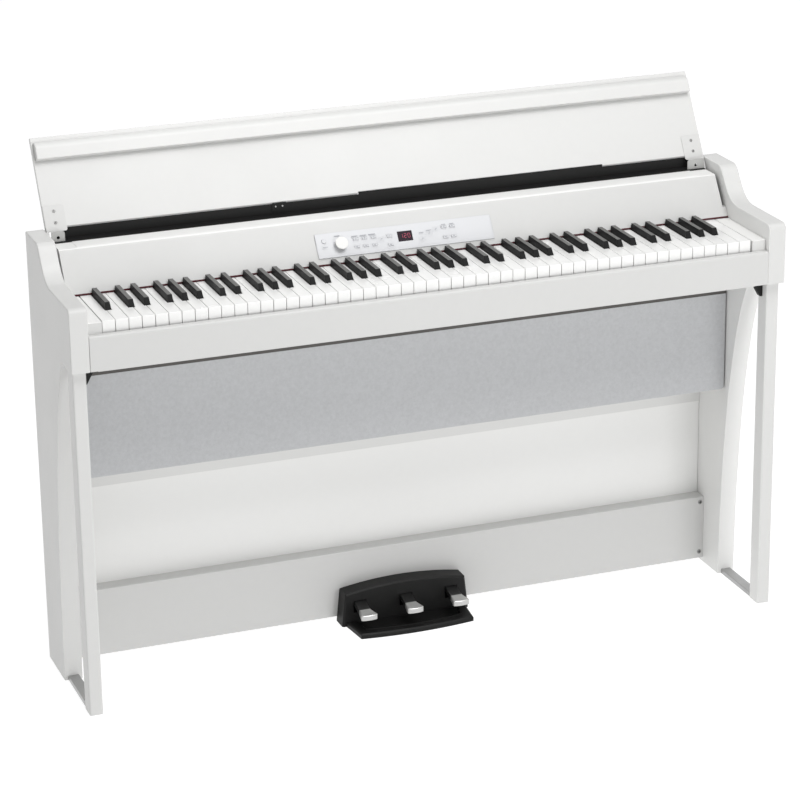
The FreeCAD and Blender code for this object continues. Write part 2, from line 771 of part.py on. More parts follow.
def pedal_case_back():
    """Upright of the pedal case: arched top, sides that spread towards the floor, softened front edge."""
    foot = case_half + pedal_case_flare
    corners = [V(-case_half, case_front, pedal_case_shoulder), V(-foot, case_front, 0), V(foot, case_front, 0),
               V(case_half, case_front, pedal_case_shoulder)]
    sides = [Part.LineSegment(p, q).toShape() for p, q in zip(corners, corners[1:])]
    sides.append(Part.Arc(corners[-1], V(0, case_front, pedal_case_crown), corners[0]).toShape())
    upright = Part.Face(Part.Wire(sides)).extrude(V(0, pedal_case_depth, 0))
    return ease_edges(upright, pedal_case_edge,
                      lambda e: e.BoundBox.YLength < 1e-6 and e.CenterOfMass.y < case_front + 1
                      and e.CenterOfMass.z > 1)


def tray_outline(inset, z):
    """Plan of the tray, drawn in from its edge by an inset, with the bowed front side first."""
    front = pedal_board_front - tray_reach + inset
    half_front = case_half - tray_inset - tray_taper - inset
    half_back = case_half - tray_inset - inset
    corners = [(-half_front, front), (half_front, front), (half_back, case_front), (-half_back, case_front)]
    return plan(corners, z, (0, front - tray_bow))


def pedal_tray():
    """Floor plate of the pedal case sunk inside its rim, with a ridge along the front of the sunk part."""
    tray = tray_outline(0, 0).extrude(V(0, 0, tray_height))
    tray = ease_edges(tray, tray_edge,
                      lambda e: abs(e.CenterOfMass.z - tray_height) < 1e-6
                      and e.CenterOfMass.y < case_front - 1)
    sunk = tray_outline(tray_rim, tray_floor).extrude(V(0, 0, tray_height))
    ridge_top = tray_height + tray_ridge_rise
    ridge_front = tray_outline(tray_rim, 0).extrude(V(0, 0, ridge_top))
    ridge_back = tray_outline(tray_rim + tray_ridge, 0).extrude(V(0, 0, ridge_top))
    ridge = ridge_front.cut(ridge_back)
    ridge = ridge.common(box((-case_half, case_half), (tip_front - tray_rim, tip_back), (0, ridge_top)))
    return tray.cut(sunk).fuse(ridge)


pedal_case = pedal_case_back().fuse(pedal_tray())
slot_half = pedal_arm_width / 2 + pedal_slot_clearance
slot_back = pedal_board_front - pedal_slot_wall
slot_mouth = case_front - 1
slot_side = outline([(slot_mouth, slot_foot), (slot_mouth, pedal_top(slot_mouth) + pedal_slot_clearance),
                     (slot_back, pedal_top(slot_back) + pedal_slot_clearance), (slot_back, slot_foot)])
for x in (-pedal_spacing, 0, pedal_spacing):
    pedal_case = pedal_case.cut(extrude_x(slot_side, x - slot_half, x + slot_half))
shaft_length = 2 * pedal_spacing + pedal_case_cheek
shaft = cylinder(pedal_shaft_radius, shaft_length, V(-shaft_length / 2, pedal_pivot, shaft_z), V(1, 0, 0))
nodes["pedal_case"] = pedal_case.cut(shaft).removeSplitter()
nodes["pedal_shaft"] = shaft


def pedal(x):
    """Pedal lever on the cross shaft: a sloping arm that widens to a bowed, softly edged tip."""
    half_arm = pedal_arm_width / 2
    half_tip = pedal_width / 2
    tip_side = tip_front + pedal_bow
    lever_back = pedal_pivot + pedal_past_pivot
    lowest = pedal_level - pedal_thickness
    highest = pedal_top(lever_back)
    shape = plan([(x - half_tip, tip_side), (x + half_tip, tip_side), (x + half_arm, tip_back),
                  (x + half_arm, lever_back), (x - half_arm, lever_back), (x - half_arm, tip_back)],
                 lowest, (x, tip_front)).extrude(V(0, 0, highest - lowest))
    shape = round_edges(shape, pedal_corner_radius,
                        lambda e: is_along(e, "z") and e.CenterOfMass.y < tip_side + 1)
    tops = [(y, pedal_top(y)) for y in (tip_front, tip_back, lever_back)]
    side = tops + [(y, z - pedal_thickness) for y, z in reversed(tops)]
    shape = shape.common(extrude_x(outline(side), x - half_tip, x + half_tip))
    shape = ease_edges(shape, pedal_edge,
                       lambda e: e.CenterOfMass.z > pedal_level - pedal_edge
                       and e.CenterOfMass.y < tip_back - pedal_edge)
    bore = cylinder(pedal_shaft_radius + pedal_shaft_clearance, pedal_arm_width,
                    V(x - half_arm, pedal_pivot, shaft_z), V(1, 0, 0))
    return shape.cut(bore)


for side, name in ((-1, "pedal_left"), (0, "pedal_middle"), (1, "pedal_right")):
    nodes[name] = pedal(side * pedal_spacing)

# ---- fasteners ------------------------------------------------------------
board_screw_x = board_half - board_screw_inset
board_screw_heights = (floor_gap + board_screw_low, pedal_board_top - board_screw_high)
board_screws = [screw(V(side * board_screw_x, pedal_board_front, z), V(0, -1, 0))
                for side in (-1, 1) for z in board_screw_heights]
nodes["pedal_board_screws"] = Part.makeCompound(board_screws)
nodes["pedal_board"] = nodes["pedal_board"].cut(nodes["pedal_board_screws"])

flange_face = lid_thickness + lid_flange_thickness
lid_screws = [screw(lid_point(lid_foot + along, flange_face, side * (arm_outer - lid_flange_width / 2)), lid_in)
              for side in (-1, 1) for along in lid_screw_places]
nodes["lid_screws"] = Part.makeCompound(lid_screws)
nodes["lid_board"] = nodes["lid_board"].cut(nodes["lid_screws"])
nodes["lid_arms"] = nodes["lid_arms"].cut(nodes["lid_screws"])

# ---- write ----------------------------------------------------------------
for name, shape in nodes.items():
    shape = shape.copy()
    shape.translate(origin_shift)
    shape.exportStep("parts/" + name + ".step")
print(len(nodes), "nodes")
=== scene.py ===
import json
import math

import bmesh
import bpy
from bpy.props import FloatProperty, FloatVectorProperty, StringProperty
from mathutils import Matrix, Vector


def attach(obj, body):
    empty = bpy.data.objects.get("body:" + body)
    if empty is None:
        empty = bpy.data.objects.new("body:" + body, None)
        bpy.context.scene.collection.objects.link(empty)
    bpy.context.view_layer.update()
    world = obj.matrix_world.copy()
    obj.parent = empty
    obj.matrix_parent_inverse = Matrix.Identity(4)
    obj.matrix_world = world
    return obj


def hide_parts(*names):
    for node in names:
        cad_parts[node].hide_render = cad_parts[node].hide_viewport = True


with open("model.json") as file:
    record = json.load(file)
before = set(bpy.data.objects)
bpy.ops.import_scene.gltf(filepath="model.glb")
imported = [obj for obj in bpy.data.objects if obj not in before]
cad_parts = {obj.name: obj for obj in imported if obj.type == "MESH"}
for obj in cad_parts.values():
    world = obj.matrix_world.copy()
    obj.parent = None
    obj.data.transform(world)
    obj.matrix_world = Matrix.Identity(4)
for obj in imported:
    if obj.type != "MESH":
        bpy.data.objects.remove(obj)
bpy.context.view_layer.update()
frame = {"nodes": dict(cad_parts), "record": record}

NODES = frame["nodes"]
RECORD = frame["record"]
BODY_OF = {node: body for body, nodes in RECORD["behaviour"]["bodies"].items() for node in nodes}
SLOT_OF = {part["node"]: part["material_slot"] for part in RECORD["subparts"]}
MM = 0.001
FULL_SIZE = (1, 1, 1)
NO_TURN = (0, 0, 0)

# Meshes: points closer than this are one, faces that turn less than this are one flat face.
SAME_POINT = 0.02 * MM
SAME_LEVEL = 0.1 * MM
FLAT_TURN = math.radians(0.6)
FLAT_WEIGHT = 80

# Roundings of the small pieces.
FINE_EDGE = 0.6 * MM
THIN_EDGE = 0.4 * MM
KNOB_EDGE = 1.8 * MM
FOOT_BAR_EDGE = 1.0 * MM
GRILLE_EDGE = 1.5 * MM
PEDAL_EDGE = 1.5 * MM
PEDAL_CASE_EDGE = 2.0 * MM

# Shares of the lacquer's colour that the boards and brackets have. The back and rail shares are painted light
# and the front and low shares painted shade.
BRACKET_SHARE = 0.95
PAINTED_LIGHT_SHARE = 1.25
RAIL_SHARE = 1.05
FRONT_SHADE_SHARE = 0.93
LOW_SHADE_SHARE = 0.89
CLOTH_DARK_SHARE = 0.62

# Black strip behind the housing: its lip, its grey end plates, the lid's notch and the clip.
STRIP_LIP_RISE = 18.0 * MM
STRIP_LIP_THICKNESS = 2.0 * MM
LIP_END_GAP = 8.0 * MM
LIP_ADDED = 1.2 * MM
END_PLATE_WIDTH = 34.0 * MM
END_PLATE_ROUND = 6.0 * MM
END_PLATE_BACK = 12.0 * MM
END_PLATE_ADDED = 4.5 * MM
LID_NOTCH = (-54.7 * MM, 429.7 * MM)
STEP_RISE = 5.5 * MM
STEP_SHARE = 0.9
CLIP_X = -208.0 * MM
CLIP_WIDTH = 26.0 * MM
CLIP_HEIGHT = 14.0 * MM
CLIP_RISE = 3.0 * MM

# The rest of the case and stand.
LID_LEAN = math.radians(30.7)
LEG_WIDTH = 24.5 * MM
RAIL_THICKNESS = 2.0 * MM
# Painted shade line across the speaker cloth: its height and thickness.
SHADE_LINE_HEIGHT = 8.0 * MM
SHADE_LINE_THICKNESS = 0.8 * MM
BRACKET_DROP = 7.0 * MM
UNDERSIDE_GAP = 0.1 * MM
PRINT_THICKNESS = 0.08 * MM
PLATING_FADE = 1.0 * MM
PLATING_SHINE = 0.55

# Screws: the shank and the crown against the head's radius, the cross's arms, and sides of the rounds.
SHANK_SHARE = 0.5
CROWN_SHARE = 0.72
RECESS_WIDTH_SHARE = 0.24
SHANK_SIDES = 12
HEAD_SIDES = 32

bl_info = {
    "name": "Console Digital Piano",
    "version": (1, 0, 0),
    "blender": (4, 5, 0),
    "location": "View3D > Sidebar > Piano",
    "description": "Finishes a white console digital piano around its packed frame",
    "category": "Object",
}


# ---- sizes and colours a user would change ---------------------------------
def colour(name, description, default):
    return FloatVectorProperty(name=name, description=description, subtype="COLOR", size=3, min=0, max=1,
                               default=default)


def amount(name, description, default, **kind):
    return FloatProperty(name=name, description=description, default=default, **kind)


def length(name, description, default):
    return amount(name, description, default, subtype="DISTANCE", unit="LENGTH", min=0)


def lamp_power(name, description, default):
    return amount(name, description, default, unit="POWER", min=0)


class CaseSettings(bpy.types.PropertyGroup):
    lacquer: colour("Lacquer", "Colour of the white lacquer on the boards", (0.650, 0.650, 0.640))
    cloth: colour("Speaker cloth", "Colour of the lightest threads of the speaker cloth", (0.65, 0.66, 0.675))
    panel_edge: length("Panel edge", "Rounding of the side panels' edges", 3.0 * MM)
    board_edge: length("Board edge", "Rounding of the thinner boards' edges", 1.2 * MM)
    lid_edge: length("Lid edge", "Rounding of the lid and its nose", 2.0 * MM)
    rail_height: length("Rail height", "Height of the rail under the speaker box", 60.0 * MM)
    # The cloth's painted shade line sits this far below its frame's top.
    cloth_shade_line: length("Cloth shade line", "Depth of the painted shade line across the cloth below its frame's top", 59.3 * MM)


class KeySettings(bpy.types.PropertyGroup):
    white: colour("White keys", "Colour of the white keys", (0.90, 0.90, 0.89))
    black: colour("Black keys", "Colour of the black keys' sides and noses", (0.012, 0.012, 0.0125))
    # The black keys' upward faces are paler by a painted sheen.
    black_sheen: colour("Black key painted sheen", "Colour of the painted sheen on the black keys' matt tops", (0.11, 0.11, 0.107))
    white_edge: length("White key edge", "Rounding of the white keys", 0.6 * MM)
    black_edge: length("Black key edge", "Rounding of the black keys", 1.0 * MM)


class ControlSettings(bpy.types.PropertyGroup):
    plate: colour("Plate", "Colour of the control plate", (0.645, 0.652, 0.67))
    print_grey: colour("Print", "Colour of the printed marks", (0.34, 0.35, 0.38))
    # The faint grey also draws a painted shade line round the plate's edge.
    faint_grey: colour("Faint print and shade", "Colour of the outlines around the buttons and of the painted shade round the plate", (0.58, 0.585, 0.61))
    lit: colour("Digits", "Colour of the lit digits", (0.42, 0.03, 0.08))
    shown: StringProperty(name="Shown number", description="Digits that the display shows", default="120")
    digit_height: length("Digit height", "Height of the lit digits", 8.0 * MM)
    knob_growth: amount("Knob growth", "Width of the knob's cap against the packed one", 1.4, min=1, max=1.5)


class HardwareSettings(bpy.types.PropertyGroup):
    tip_length: length("Pedal tip", "Length of the plated tip of each pedal", 30.0 * MM)
    end_plate: length("End plate", "Width of the upturned left end of the top strip", 24.0 * MM)
    board_head: amount("Board screws", "Width of the pedal board's screw heads against the packed ones", 1.55,
                       min=1, max=1.6)
    recess_share: amount("Recess", "Length of the screws' cross against their head", 0.62, subtype="FACTOR",
                         min=0, max=0.9)


class StageSettings(bpy.types.PropertyGroup):
    floor: colour("Floor", "Colour of the floor", (0.30, 0.30, 0.30))
    floor_glow: amount("Floor glow", "Light that the floor gives by itself", 0.89, min=0)
    main_light: lamp_power("Main light", "Power of the large soft light above", 91.0)
    low_light: lamp_power("Low light", "Power of the low light in front", 40.0)
    fill_light: lamp_power("Fill light", "Power of the soft light over the keys", 4.4)
    sky: amount("Sky", "Strength of the even light from all around", 0.31, min=0)


# ---- node groups ------------------------------------------------------------
def new_group(name, inputs, outputs, kind="ShaderNodeTree"):
    """Empty group with (name, kind, default) inputs and (name, kind) outputs: its tree and both ends."""
    tree = bpy.data.node_groups.new(name, kind)
    for label, socket_kind, default in inputs:
        socket = tree.interface.new_socket(label, in_out="INPUT", socket_type=socket_kind)
        if default is not None:
            socket.default_value = default
    for label, socket_kind in outputs:
        tree.interface.new_socket(label, in_out="OUTPUT", socket_type=socket_kind)
    return tree, tree.nodes.new("NodeGroupInput").outputs, tree.nodes.new("NodeGroupOutput").inputs


def feed(tree, socket, value):
    """Link an input to another socket, or set it to a value."""
    if hasattr(value, "is_output"):
        tree.links.new(value, socket)
    else:
        socket.default_value = value


def math_node(tree, operation, *values, clamp=False):
    """Math node whose inputs are sockets or numbers; returns its output socket."""
    node = tree.nodes.new("ShaderNodeMath")
    node.operation = operation
    node.use_clamp = clamp
    for socket, value in zip(node.inputs, values):
        feed(tree, socket, value)
    return node.outputs[0]


def noise(tree, vector, scale, detail=3.0, roughness=0.5):
    """Noise from 0 to 1; returns its output socket."""
    node = tree.nodes.new("ShaderNodeTexNoise")
    for name, value in (("Vector", vector), ("Scale", scale), ("Detail", detail), ("Roughness", roughness)):
        feed(tree, node.inputs[name], value)
    return node.outputs["Fac"]


def components(tree, vector):
    """The X, Y and Z outputs of a vector."""
    split = tree.nodes.new("ShaderNodeSeparateXYZ")
    tree.links.new(vector, split.inputs[0])
    return split.outputs


def group_fine_grain():
    """Small even grain for lacquer and moulded plastic: a height and a slight tone."""
    tree, given, made = new_group("Fine Grain", [("Vector", "NodeSocketVector", None),
                                                 ("Scale", "NodeSocketFloat", 900.0)],
                                  [("Height", "NodeSocketFloat"), ("Tone", "NodeSocketFloat")])
    fine = noise(tree, given["Vector"], given["Scale"], 2.0)
    broad_scale = math_node(tree, "MULTIPLY", given["Scale"], 0.12)
    broad = noise(tree, given["Vector"], broad_scale, 2.0)
    height = math_node(tree, "MULTIPLY_ADD", fine, 0.6, math_node(tree, "MULTIPLY", broad, 0.4))
    tree.links.new(height, made["Height"])
    tree.links.new(broad, made["Tone"])
    return tree


def group_handling():
    """Faint uneven patches left by dusting and hands, from 0 to 1."""
    tree, given, made = new_group("Handling Patches", [("Vector", "NodeSocketVector", None),
                                                       ("Scale", "NodeSocketFloat", 7.0)],
                                  [("Mask", "NodeSocketFloat")])
    patches = noise(tree, given["Vector"], given["Scale"], 4.0, 0.55)
    mask = math_node(tree, "MULTIPLY_ADD", patches, 2.2, -0.6, clamp=True)
    tree.links.new(mask, made["Mask"])
    return tree


def group_cloth():
    """Plain weave seen from the front: threads along X and Z with a slight unevenness."""
    tree, given, made = new_group("Speaker Cloth", [("Vector", "NodeSocketVector", None),
                                                    ("Threads Per Metre", "NodeSocketFloat", 900.0)],
                                  [("Height", "NodeSocketFloat"), ("Tone", "NodeSocketFloat")])
    place = components(tree, given["Vector"])
    waves = []
    for axis in ("X", "Z"):
        turns = math_node(tree, "MULTIPLY", place[axis], given["Threads Per Metre"])
        wave = math_node(tree, "SINE", math_node(tree, "MULTIPLY", turns, 2 * math.pi))
        waves.append(math_node(tree, "MULTIPLY_ADD", wave, 0.5, 0.5))
    weave = math_node(tree, "MULTIPLY", waves[0], waves[1])
    uneven = noise(tree, given["Vector"], 160.0, 4.0, 0.7)
    tree.links.new(weave, made["Height"])
    tone = math_node(tree, "MULTIPLY_ADD", weave, 0.35, math_node(tree, "MULTIPLY", uneven, 0.65))
    tree.links.new(tone, made["Tone"])
    return tree


def group_brushed():
    """Fine lines along one direction, for drawn and polished metal."""
    tree, given, made = new_group("Brushed Lines", [("Vector", "NodeSocketVector", None)],
                                  [("Height", "NodeSocketFloat")])
    stretch = tree.nodes.new("ShaderNodeMapping")
    stretch.inputs["Scale"].default_value = (900.0, 25.0, 900.0)
    tree.links.new(given["Vector"], stretch.inputs["Vector"])
    tree.links.new(noise(tree, stretch.outputs[0], 1.0, 3.0, 0.6), made["Height"])
    return tree


def group_fibres():
    """Short tangled fibres of pressed felt."""
    tree, given, made = new_group("Felt Fibres", [("Vector", "NodeSocketVector", None)],
                                  [("Height", "NodeSocketFloat"), ("Tone", "NodeSocketFloat")])
    tangle = noise(tree, given["Vector"], 2600.0, 5.0, 0.8)
    clumps = noise(tree, given["Vector"], 300.0, 3.0)
    tree.links.new(tangle, made["Height"])
    tree.links.new(math_node(tree, "MULTIPLY", tangle, clumps), made["Tone"])
    return tree


GROUPS = {}


def build_groups():
    for name, maker in (("grain", group_fine_grain), ("handling", group_handling), ("cloth", group_cloth),
                        ("brushed", group_brushed), ("fibres", group_fibres), ("bars", group_bars),
                        ("screws", group_screws)):
        GROUPS[name] = maker()


# ---- materials --------------------------------------------------------------
class Recipe:
    """A material under construction: its tree, its Principled shader and Object coordinates."""

    def __init__(self, name):
        self.material = bpy.data.materials.new(name)
        self.material.use_nodes = True
        self.tree = self.material.node_tree
        self.shader = self.tree.nodes["Principled BSDF"]
        self.place = self.tree.nodes.new("ShaderNodeTexCoord").outputs["Object"]

    def effect(self, group, **values):
        node = self.tree.nodes.new("ShaderNodeGroup")
        node.node_tree = GROUPS[group]
        self.tree.links.new(self.place, node.inputs["Vector"])
        for name, value in values.items():
            node.inputs[name.replace("_", " ")].default_value = value
        return node.outputs

    def mix(self, factor, first, second):
        node = self.tree.nodes.new("ShaderNodeMix")
        node.data_type = "RGBA"
        self.tree.links.new(factor, node.inputs["Factor"])
        for name, value in (("A", first), ("B", second)):
            feed(self.tree, node.inputs[name], value if hasattr(value, "is_output") else (*value, 1.0))
        return node.outputs["Result"]

    def tint(self, factor, base, spread):
        """Base colour that varies by the spread, darker to lighter."""
        darker = [c * (1 - spread) for c in base]
        lighter = [min(1.0, c * (1 + spread)) for c in base]
        return self.mix(factor, darker, lighter)

    def use_colour(self, socket):
        self.tree.links.new(socket, self.shader.inputs["Base Color"])

    def use_roughness(self, factor, low, high):
        value = math_node(self.tree, "MULTIPLY_ADD", factor, high - low, low)
        self.tree.links.new(value, self.shader.inputs["Roughness"])

    def use_bump(self, height, strength, distance):
        node = self.tree.nodes.new("ShaderNodeBump")
        node.inputs["Strength"].default_value = strength
        node.inputs["Distance"].default_value = distance
        self.tree.links.new(height, node.inputs["Height"])
        self.tree.links.new(node.outputs["Normal"], self.shader.inputs["Normal"])

    def set(self, **values):
        for name, value in values.items():
            self.shader.inputs[name.replace("_", " ")].default_value = value


def moulded(name, base, low, high, grain_scale=900.0, bump=0.12, spread=0.02, specular=0.5, coat=0.0):
    """Lacquer or plastic: faint tone change, uneven gloss and a fine grain."""
    recipe = Recipe(name)
    grain = recipe.effect("grain", Scale=grain_scale)
    handling = recipe.effect("handling")
    recipe.use_colour(recipe.tint(grain["Tone"], base, spread))
    recipe.use_roughness(handling["Mask"], low, high)
    recipe.use_bump(grain["Height"], bump, 0.4 * MM)
    recipe.set(Specular_IOR_Level=specular, Coat_Weight=coat)
    return recipe.material


def painted_sheen_topped(name, sides, top):
    """Plastic whose faces that look up are matt and paler by a painted sheen, and whose other faces stay
    deep.
    """
    recipe = Recipe(name)
    grain = recipe.effect("grain", Scale=1500.0)
    handling = recipe.effect("handling", Scale=30.0)
    normal = components(recipe.tree, recipe.place.node.outputs["Normal"])
    # Painted sheen: 1 where a face looks straight up, 0 from a lean of some 29 degrees.
    painted_sheen = math_node(recipe.tree, "MULTIPLY_ADD", normal["Z"], 8.0, -7.0, clamp=True)
    recipe.use_colour(recipe.mix(painted_sheen, recipe.tint(grain["Tone"], sides, 0.2), top))
    recipe.use_roughness(math_node(recipe.tree, "MAXIMUM", handling["Mask"], painted_sheen), 0.36, 0.5)
    specular = math_node(recipe.tree, "MULTIPLY_ADD", painted_sheen, 0.35, 0.1)
    recipe.tree.links.new(specular, recipe.shader.inputs["Specular IOR Level"])
    recipe.use_bump(grain["Height"], 0.15, 0.4 * MM)
    return recipe.material


def board(name, lacquer, share=1.0, low=0.34, high=0.44, spread=0.012):
    """Lacquered board, as light as its share of the lacquer's colour."""
    return moulded(name, [share * c for c in lacquer], low, high, 700.0, 0.1, spread)


def metal(name, base, low, high):
    """Drawn metal with fine lines along one direction."""
    recipe = Recipe(name)
    lines = recipe.effect("brushed")
    handling = recipe.effect("handling", Scale=40.0)
    recipe.use_colour(recipe.tint(lines["Height"], base, 0.05))
    recipe.use_roughness(handling["Mask"], low, high)
    recipe.use_bump(lines["Height"], 0.1, 0.2 * MM)
    recipe.set(Metallic=1.0)
    return recipe.material


def cloth(name, base):
    """Woven cloth, darker between its threads."""
    recipe = Recipe(name)
    weave = recipe.effect("cloth")
    recipe.use_colour(recipe.mix(weave["Tone"], [CLOTH_DARK_SHARE * c for c in base], base))
    recipe.use_bump(weave["Height"], 0.5, 0.4 * MM)
    recipe.set(Roughness=0.85, Sheen_Weight=0.25, Sheen_Roughness=0.5)
    return recipe.material


def felt(name, base):
    """Pressed felt of short tangled fibres."""
    recipe = Recipe(name)
    fibres = recipe.effect("fibres")
    recipe.use_colour(recipe.tint(fibres["Tone"], base, 0.5))
    recipe.use_bump(fibres["Height"], 0.6, 0.6 * MM)
    recipe.set(Roughness=0.95, Sheen_Weight=0.4)
    return recipe.material


def plated_tip(name, base, dark, arm_from):
    """Plated metal up to a place along Y, and black enamel behind it."""
    recipe = Recipe(name)
    lines = recipe.effect("brushed")
    handling = recipe.effect("handling", Scale=40.0)
    behind = math_node(recipe.tree, "SUBTRACT", components(recipe.tree, recipe.place)["Y"], arm_from)
    arm = math_node(recipe.tree, "MULTIPLY_ADD", behind, 1 / PLATING_FADE, 0.5, clamp=True)
    recipe.use_colour(recipe.mix(arm, recipe.tint(lines["Height"], base, 0.05), dark))
    recipe.use_roughness(math_node(recipe.tree, "MAXIMUM", handling["Mask"], arm), 0.26, 0.42)
    plating = math_node(recipe.tree, "MULTIPLY_ADD", arm, -PLATING_SHINE, PLATING_SHINE)
    recipe.tree.links.new(plating, recipe.shader.inputs["Metallic"])
    recipe.use_bump(lines["Height"], 0.04, 0.2 * MM)
    return recipe.material


def glowing(name, base, strength):
    """Lit plastic that gives a little light by itself."""
    recipe = Recipe(name)
    handling = recipe.effect("handling", Scale=200.0)
    recipe.use_colour(recipe.tint(handling["Mask"], base, 0.1))
    recipe.set(Emission_Color=(*base, 1.0), Emission_Strength=strength, Roughness=0.4)
    return recipe.material


MATERIALS = {}


def build_materials():
    """Make every material; those named like a slot of the record finish that slot."""
    scene = bpy.context.scene
    keys, controls = scene.piano_keys, scene.piano_controls
    lacquer = scene.piano_case.lacquer
    arm_from = extent("pedal_middle")[0].y + scene.piano_hardware.tip_length
    MATERIALS.update({
        "bracket_paint": moulded("Pale Painted Steel", [BRACKET_SHARE * c for c in lacquer], 0.35, 0.45),
        # Painted light and shade: the back board and rail paints are lighter than the lacquer and the front
        # and low board lacquers darker, to stand in for how the light falls.
        "painted_light_board": board("White Back Board Paint", lacquer, PAINTED_LIGHT_SHARE, 0.4, 0.5, 0.01),
        "rail_paint": board("White Rail Paint", lacquer, RAIL_SHARE, 0.4, 0.5, 0.01),
        "painted_shade_board": board("White Front Board Lacquer", lacquer, FRONT_SHADE_SHARE),
        "deeper_shade_board": board("Shaded White Lacquer", lacquer, LOW_SHADE_SHARE),
        "end_plate": moulded("Grey End Plate", (0.46, 0.46, 0.45), 0.40, 0.55),
        "baffle_board": moulded("Dark Speaker Board", (0.085, 0.08, 0.075), 0.7, 0.8, 300.0, 0.3, 0.2),
        "knob": moulded("Pale Knob Plastic", (0.78, 0.78, 0.76), 0.35, 0.45, 1500.0, 0.06, 0.01),
        "white_board": board("White Satin Lacquer", lacquer),
        "white_key": moulded("White Key Plastic", keys.white, 0.20, 0.30, 1200.0, 0.05, 0.01, coat=0.15),
        "black_key": painted_sheen_topped("Black Key Plastic", keys.black, keys.black_sheen),
        "felt": felt("Red Felt", (0.11, 0.008, 0.016)),
        "grille_cloth": cloth("Grey Speaker Cloth", scene.piano_case.cloth),
        "bar_steel": metal("Grey Drawn Steel", (0.42, 0.42, 0.42), 0.35, 0.5),
        "black_plastic": moulded("Black Moulded Plastic", (0.008, 0.008, 0.0078), 0.42, 0.52, 1300.0,
                                 0.25, 0.15, specular=0.18),
        "chrome": plated_tip("Plated Pedal Tip", (0.52, 0.52, 0.51), (0.010, 0.010, 0.010), arm_from),
        "plate": moulded("Cool White Plate", controls.plate, 0.3, 0.4, 1500.0, 0.05, 0.01),
        "display": moulded("Dark Display Window", (0.020, 0.010, 0.017), 0.22, 0.30, 900.0,
                           0.01, 0.1, specular=0.08),
        "circuit": moulded("Circuit Board", (0.02, 0.10, 0.04), 0.4, 0.5),
        "speaker_metal": moulded("Black Driver Enamel", (0.02, 0.02, 0.02), 0.4, 0.6),
        "screw_steel": metal("Zinc Plated Steel", (0.30, 0.30, 0.295), 0.3, 0.45),
        "print": moulded("Printed Grey", controls.print_grey, 0.5, 0.6),
        "faint_print_and_shade": moulded("Faint Printed Grey", controls.faint_grey, 0.5, 0.6),
        "digits": glowing("Lit Digits", controls.lit, 0.45),
        "recess": moulded("Screw Recess", (0.02, 0.02, 0.02), 0.6, 0.7),
    })


# ---- mesh helpers -----------------------------------------------------------
def plain_mesh(piece):
    """Bake the modifiers of a piece into its mesh and remove them."""
    bpy.context.view_layer.update()
    graph = bpy.context.evaluated_depsgraph_get()
    baked = bpy.data.meshes.new_from_object(piece.evaluated_get(graph), depsgraph=graph)
    piece.modifiers.clear()
    piece.data = baked
    return piece


def new_piece(name, data, material=None):
    """Object in the scene for a mesh, a lamp or a camera; a mesh may be given one material."""
    piece = bpy.data.objects.new(name, data)
    bpy.context.scene.collection.objects.link(piece)
    if material:
        data.materials.clear()
        data.materials.append(material)
    return piece


def mesh_from(name, bm):
    """Mesh of a bmesh, which is freed."""
    mesh = bpy.data.meshes.new(name)
    bm.to_mesh(mesh)
    bm.free()
    return mesh


def soften(piece, width, segments, angle):
    """Round the sharp edges of a piece and keep its flat faces looking flat."""
    piece.data.shade_smooth()
    bevel = piece.modifiers.new("Rounded edges", "BEVEL")
    bevel.width = width
    bevel.segments = segments
    bevel.limit_method = "ANGLE"
    bevel.angle_limit = math.radians(angle)
    flat = piece.modifiers.new("Flat faces", "WEIGHTED_NORMAL")
    flat.weight = FLAT_WEIGHT
    return plain_mesh(piece)


def dressed(node, width, segments=3, angle=30.0, finish=None, reshape=None):
    """Copy of a CAD node with its points moved, faces merged and edges rounded, which stands for it."""
    bm = bmesh.new()
    bm.from_mesh(NODES[node].data)
    if reshape:
        for vert in bm.verts:
            reshape(vert)
    bmesh.ops.remove_doubles(bm, verts=bm.verts, dist=SAME_POINT)
    bmesh.ops.dissolve_limit(bm, angle_limit=FLAT_TURN, verts=bm.verts, edges=bm.edges, delimit={"NORMAL"})
    bmesh.ops.recalc_face_normals(bm, faces=bm.faces)
    piece = new_piece("finished_" + node, mesh_from(node, bm), MATERIALS[finish or SLOT_OF[node]])
    soften(piece, width, segments, angle)
    seat(piece, BODY_OF[node], SLOT_OF[node], node)
    return piece


def seat(piece, body, slot, *nodes):
    """Say which body a finished piece rides on and hide the nodes it stands for; the slot is not used."""
    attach(piece, body)
    if nodes:
        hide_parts(*nodes)


def extent(node):
    """Lowest and highest corner of a CAD node."""
    corners = [v.co for v in NODES[node].data.vertices]
    return (Vector(min(c[i] for c in corners) for i in range(3)),
            Vector(max(c[i] for c in corners) for i in range(3)))


class Face:
    """Flat front of a node that leans back by a tilt: its middle, half sizes in millimetres and places."""

    def __init__(self, node, tilt):
        self.out = Vector((0, -math.cos(tilt), math.sin(tilt)))
        self.up = Vector((0, math.sin(tilt), math.cos(tilt)))
        self.turn = (math.pi / 2 - tilt, 0, 0)
        corners = [v.co for v in NODES[node].data.vertices]
        spans = [[c.dot(axis) for c in corners] for axis in (Vector((1, 0, 0)), self.up)]
        self.middle = [(min(span) + max(span)) / 2 for span in spans]
        self.halves = [(max(span) - min(span)) / 2 / MM for span in spans]
        self.front = max(c.dot(self.out) for c in corners)

    def at(self, x, up):
        return Vector((self.middle[0] + x, 0, 0)) + self.up * (self.middle[1] + up) + self.out * self.front


# ---- geometry node groups for what repeats ----------------------------------
def geometry_group(name, inputs):
    """Empty group that turns geometry into geometry with the given material."""
    points = ("Geometry", "NodeSocketGeometry")
    inputs = [(*points, None), *inputs, ("Finish", "NodeSocketMaterial", None)]
    return new_group(name, inputs, [points], "GeometryNodeTree")


def carried(tree, name):
    """Named vector that each point carries."""
    node = tree.nodes.new("GeometryNodeInputNamedAttribute")
    node.data_type = "FLOAT_VECTOR"
    node.inputs["Name"].default_value = name
    return node.outputs["Attribute"]


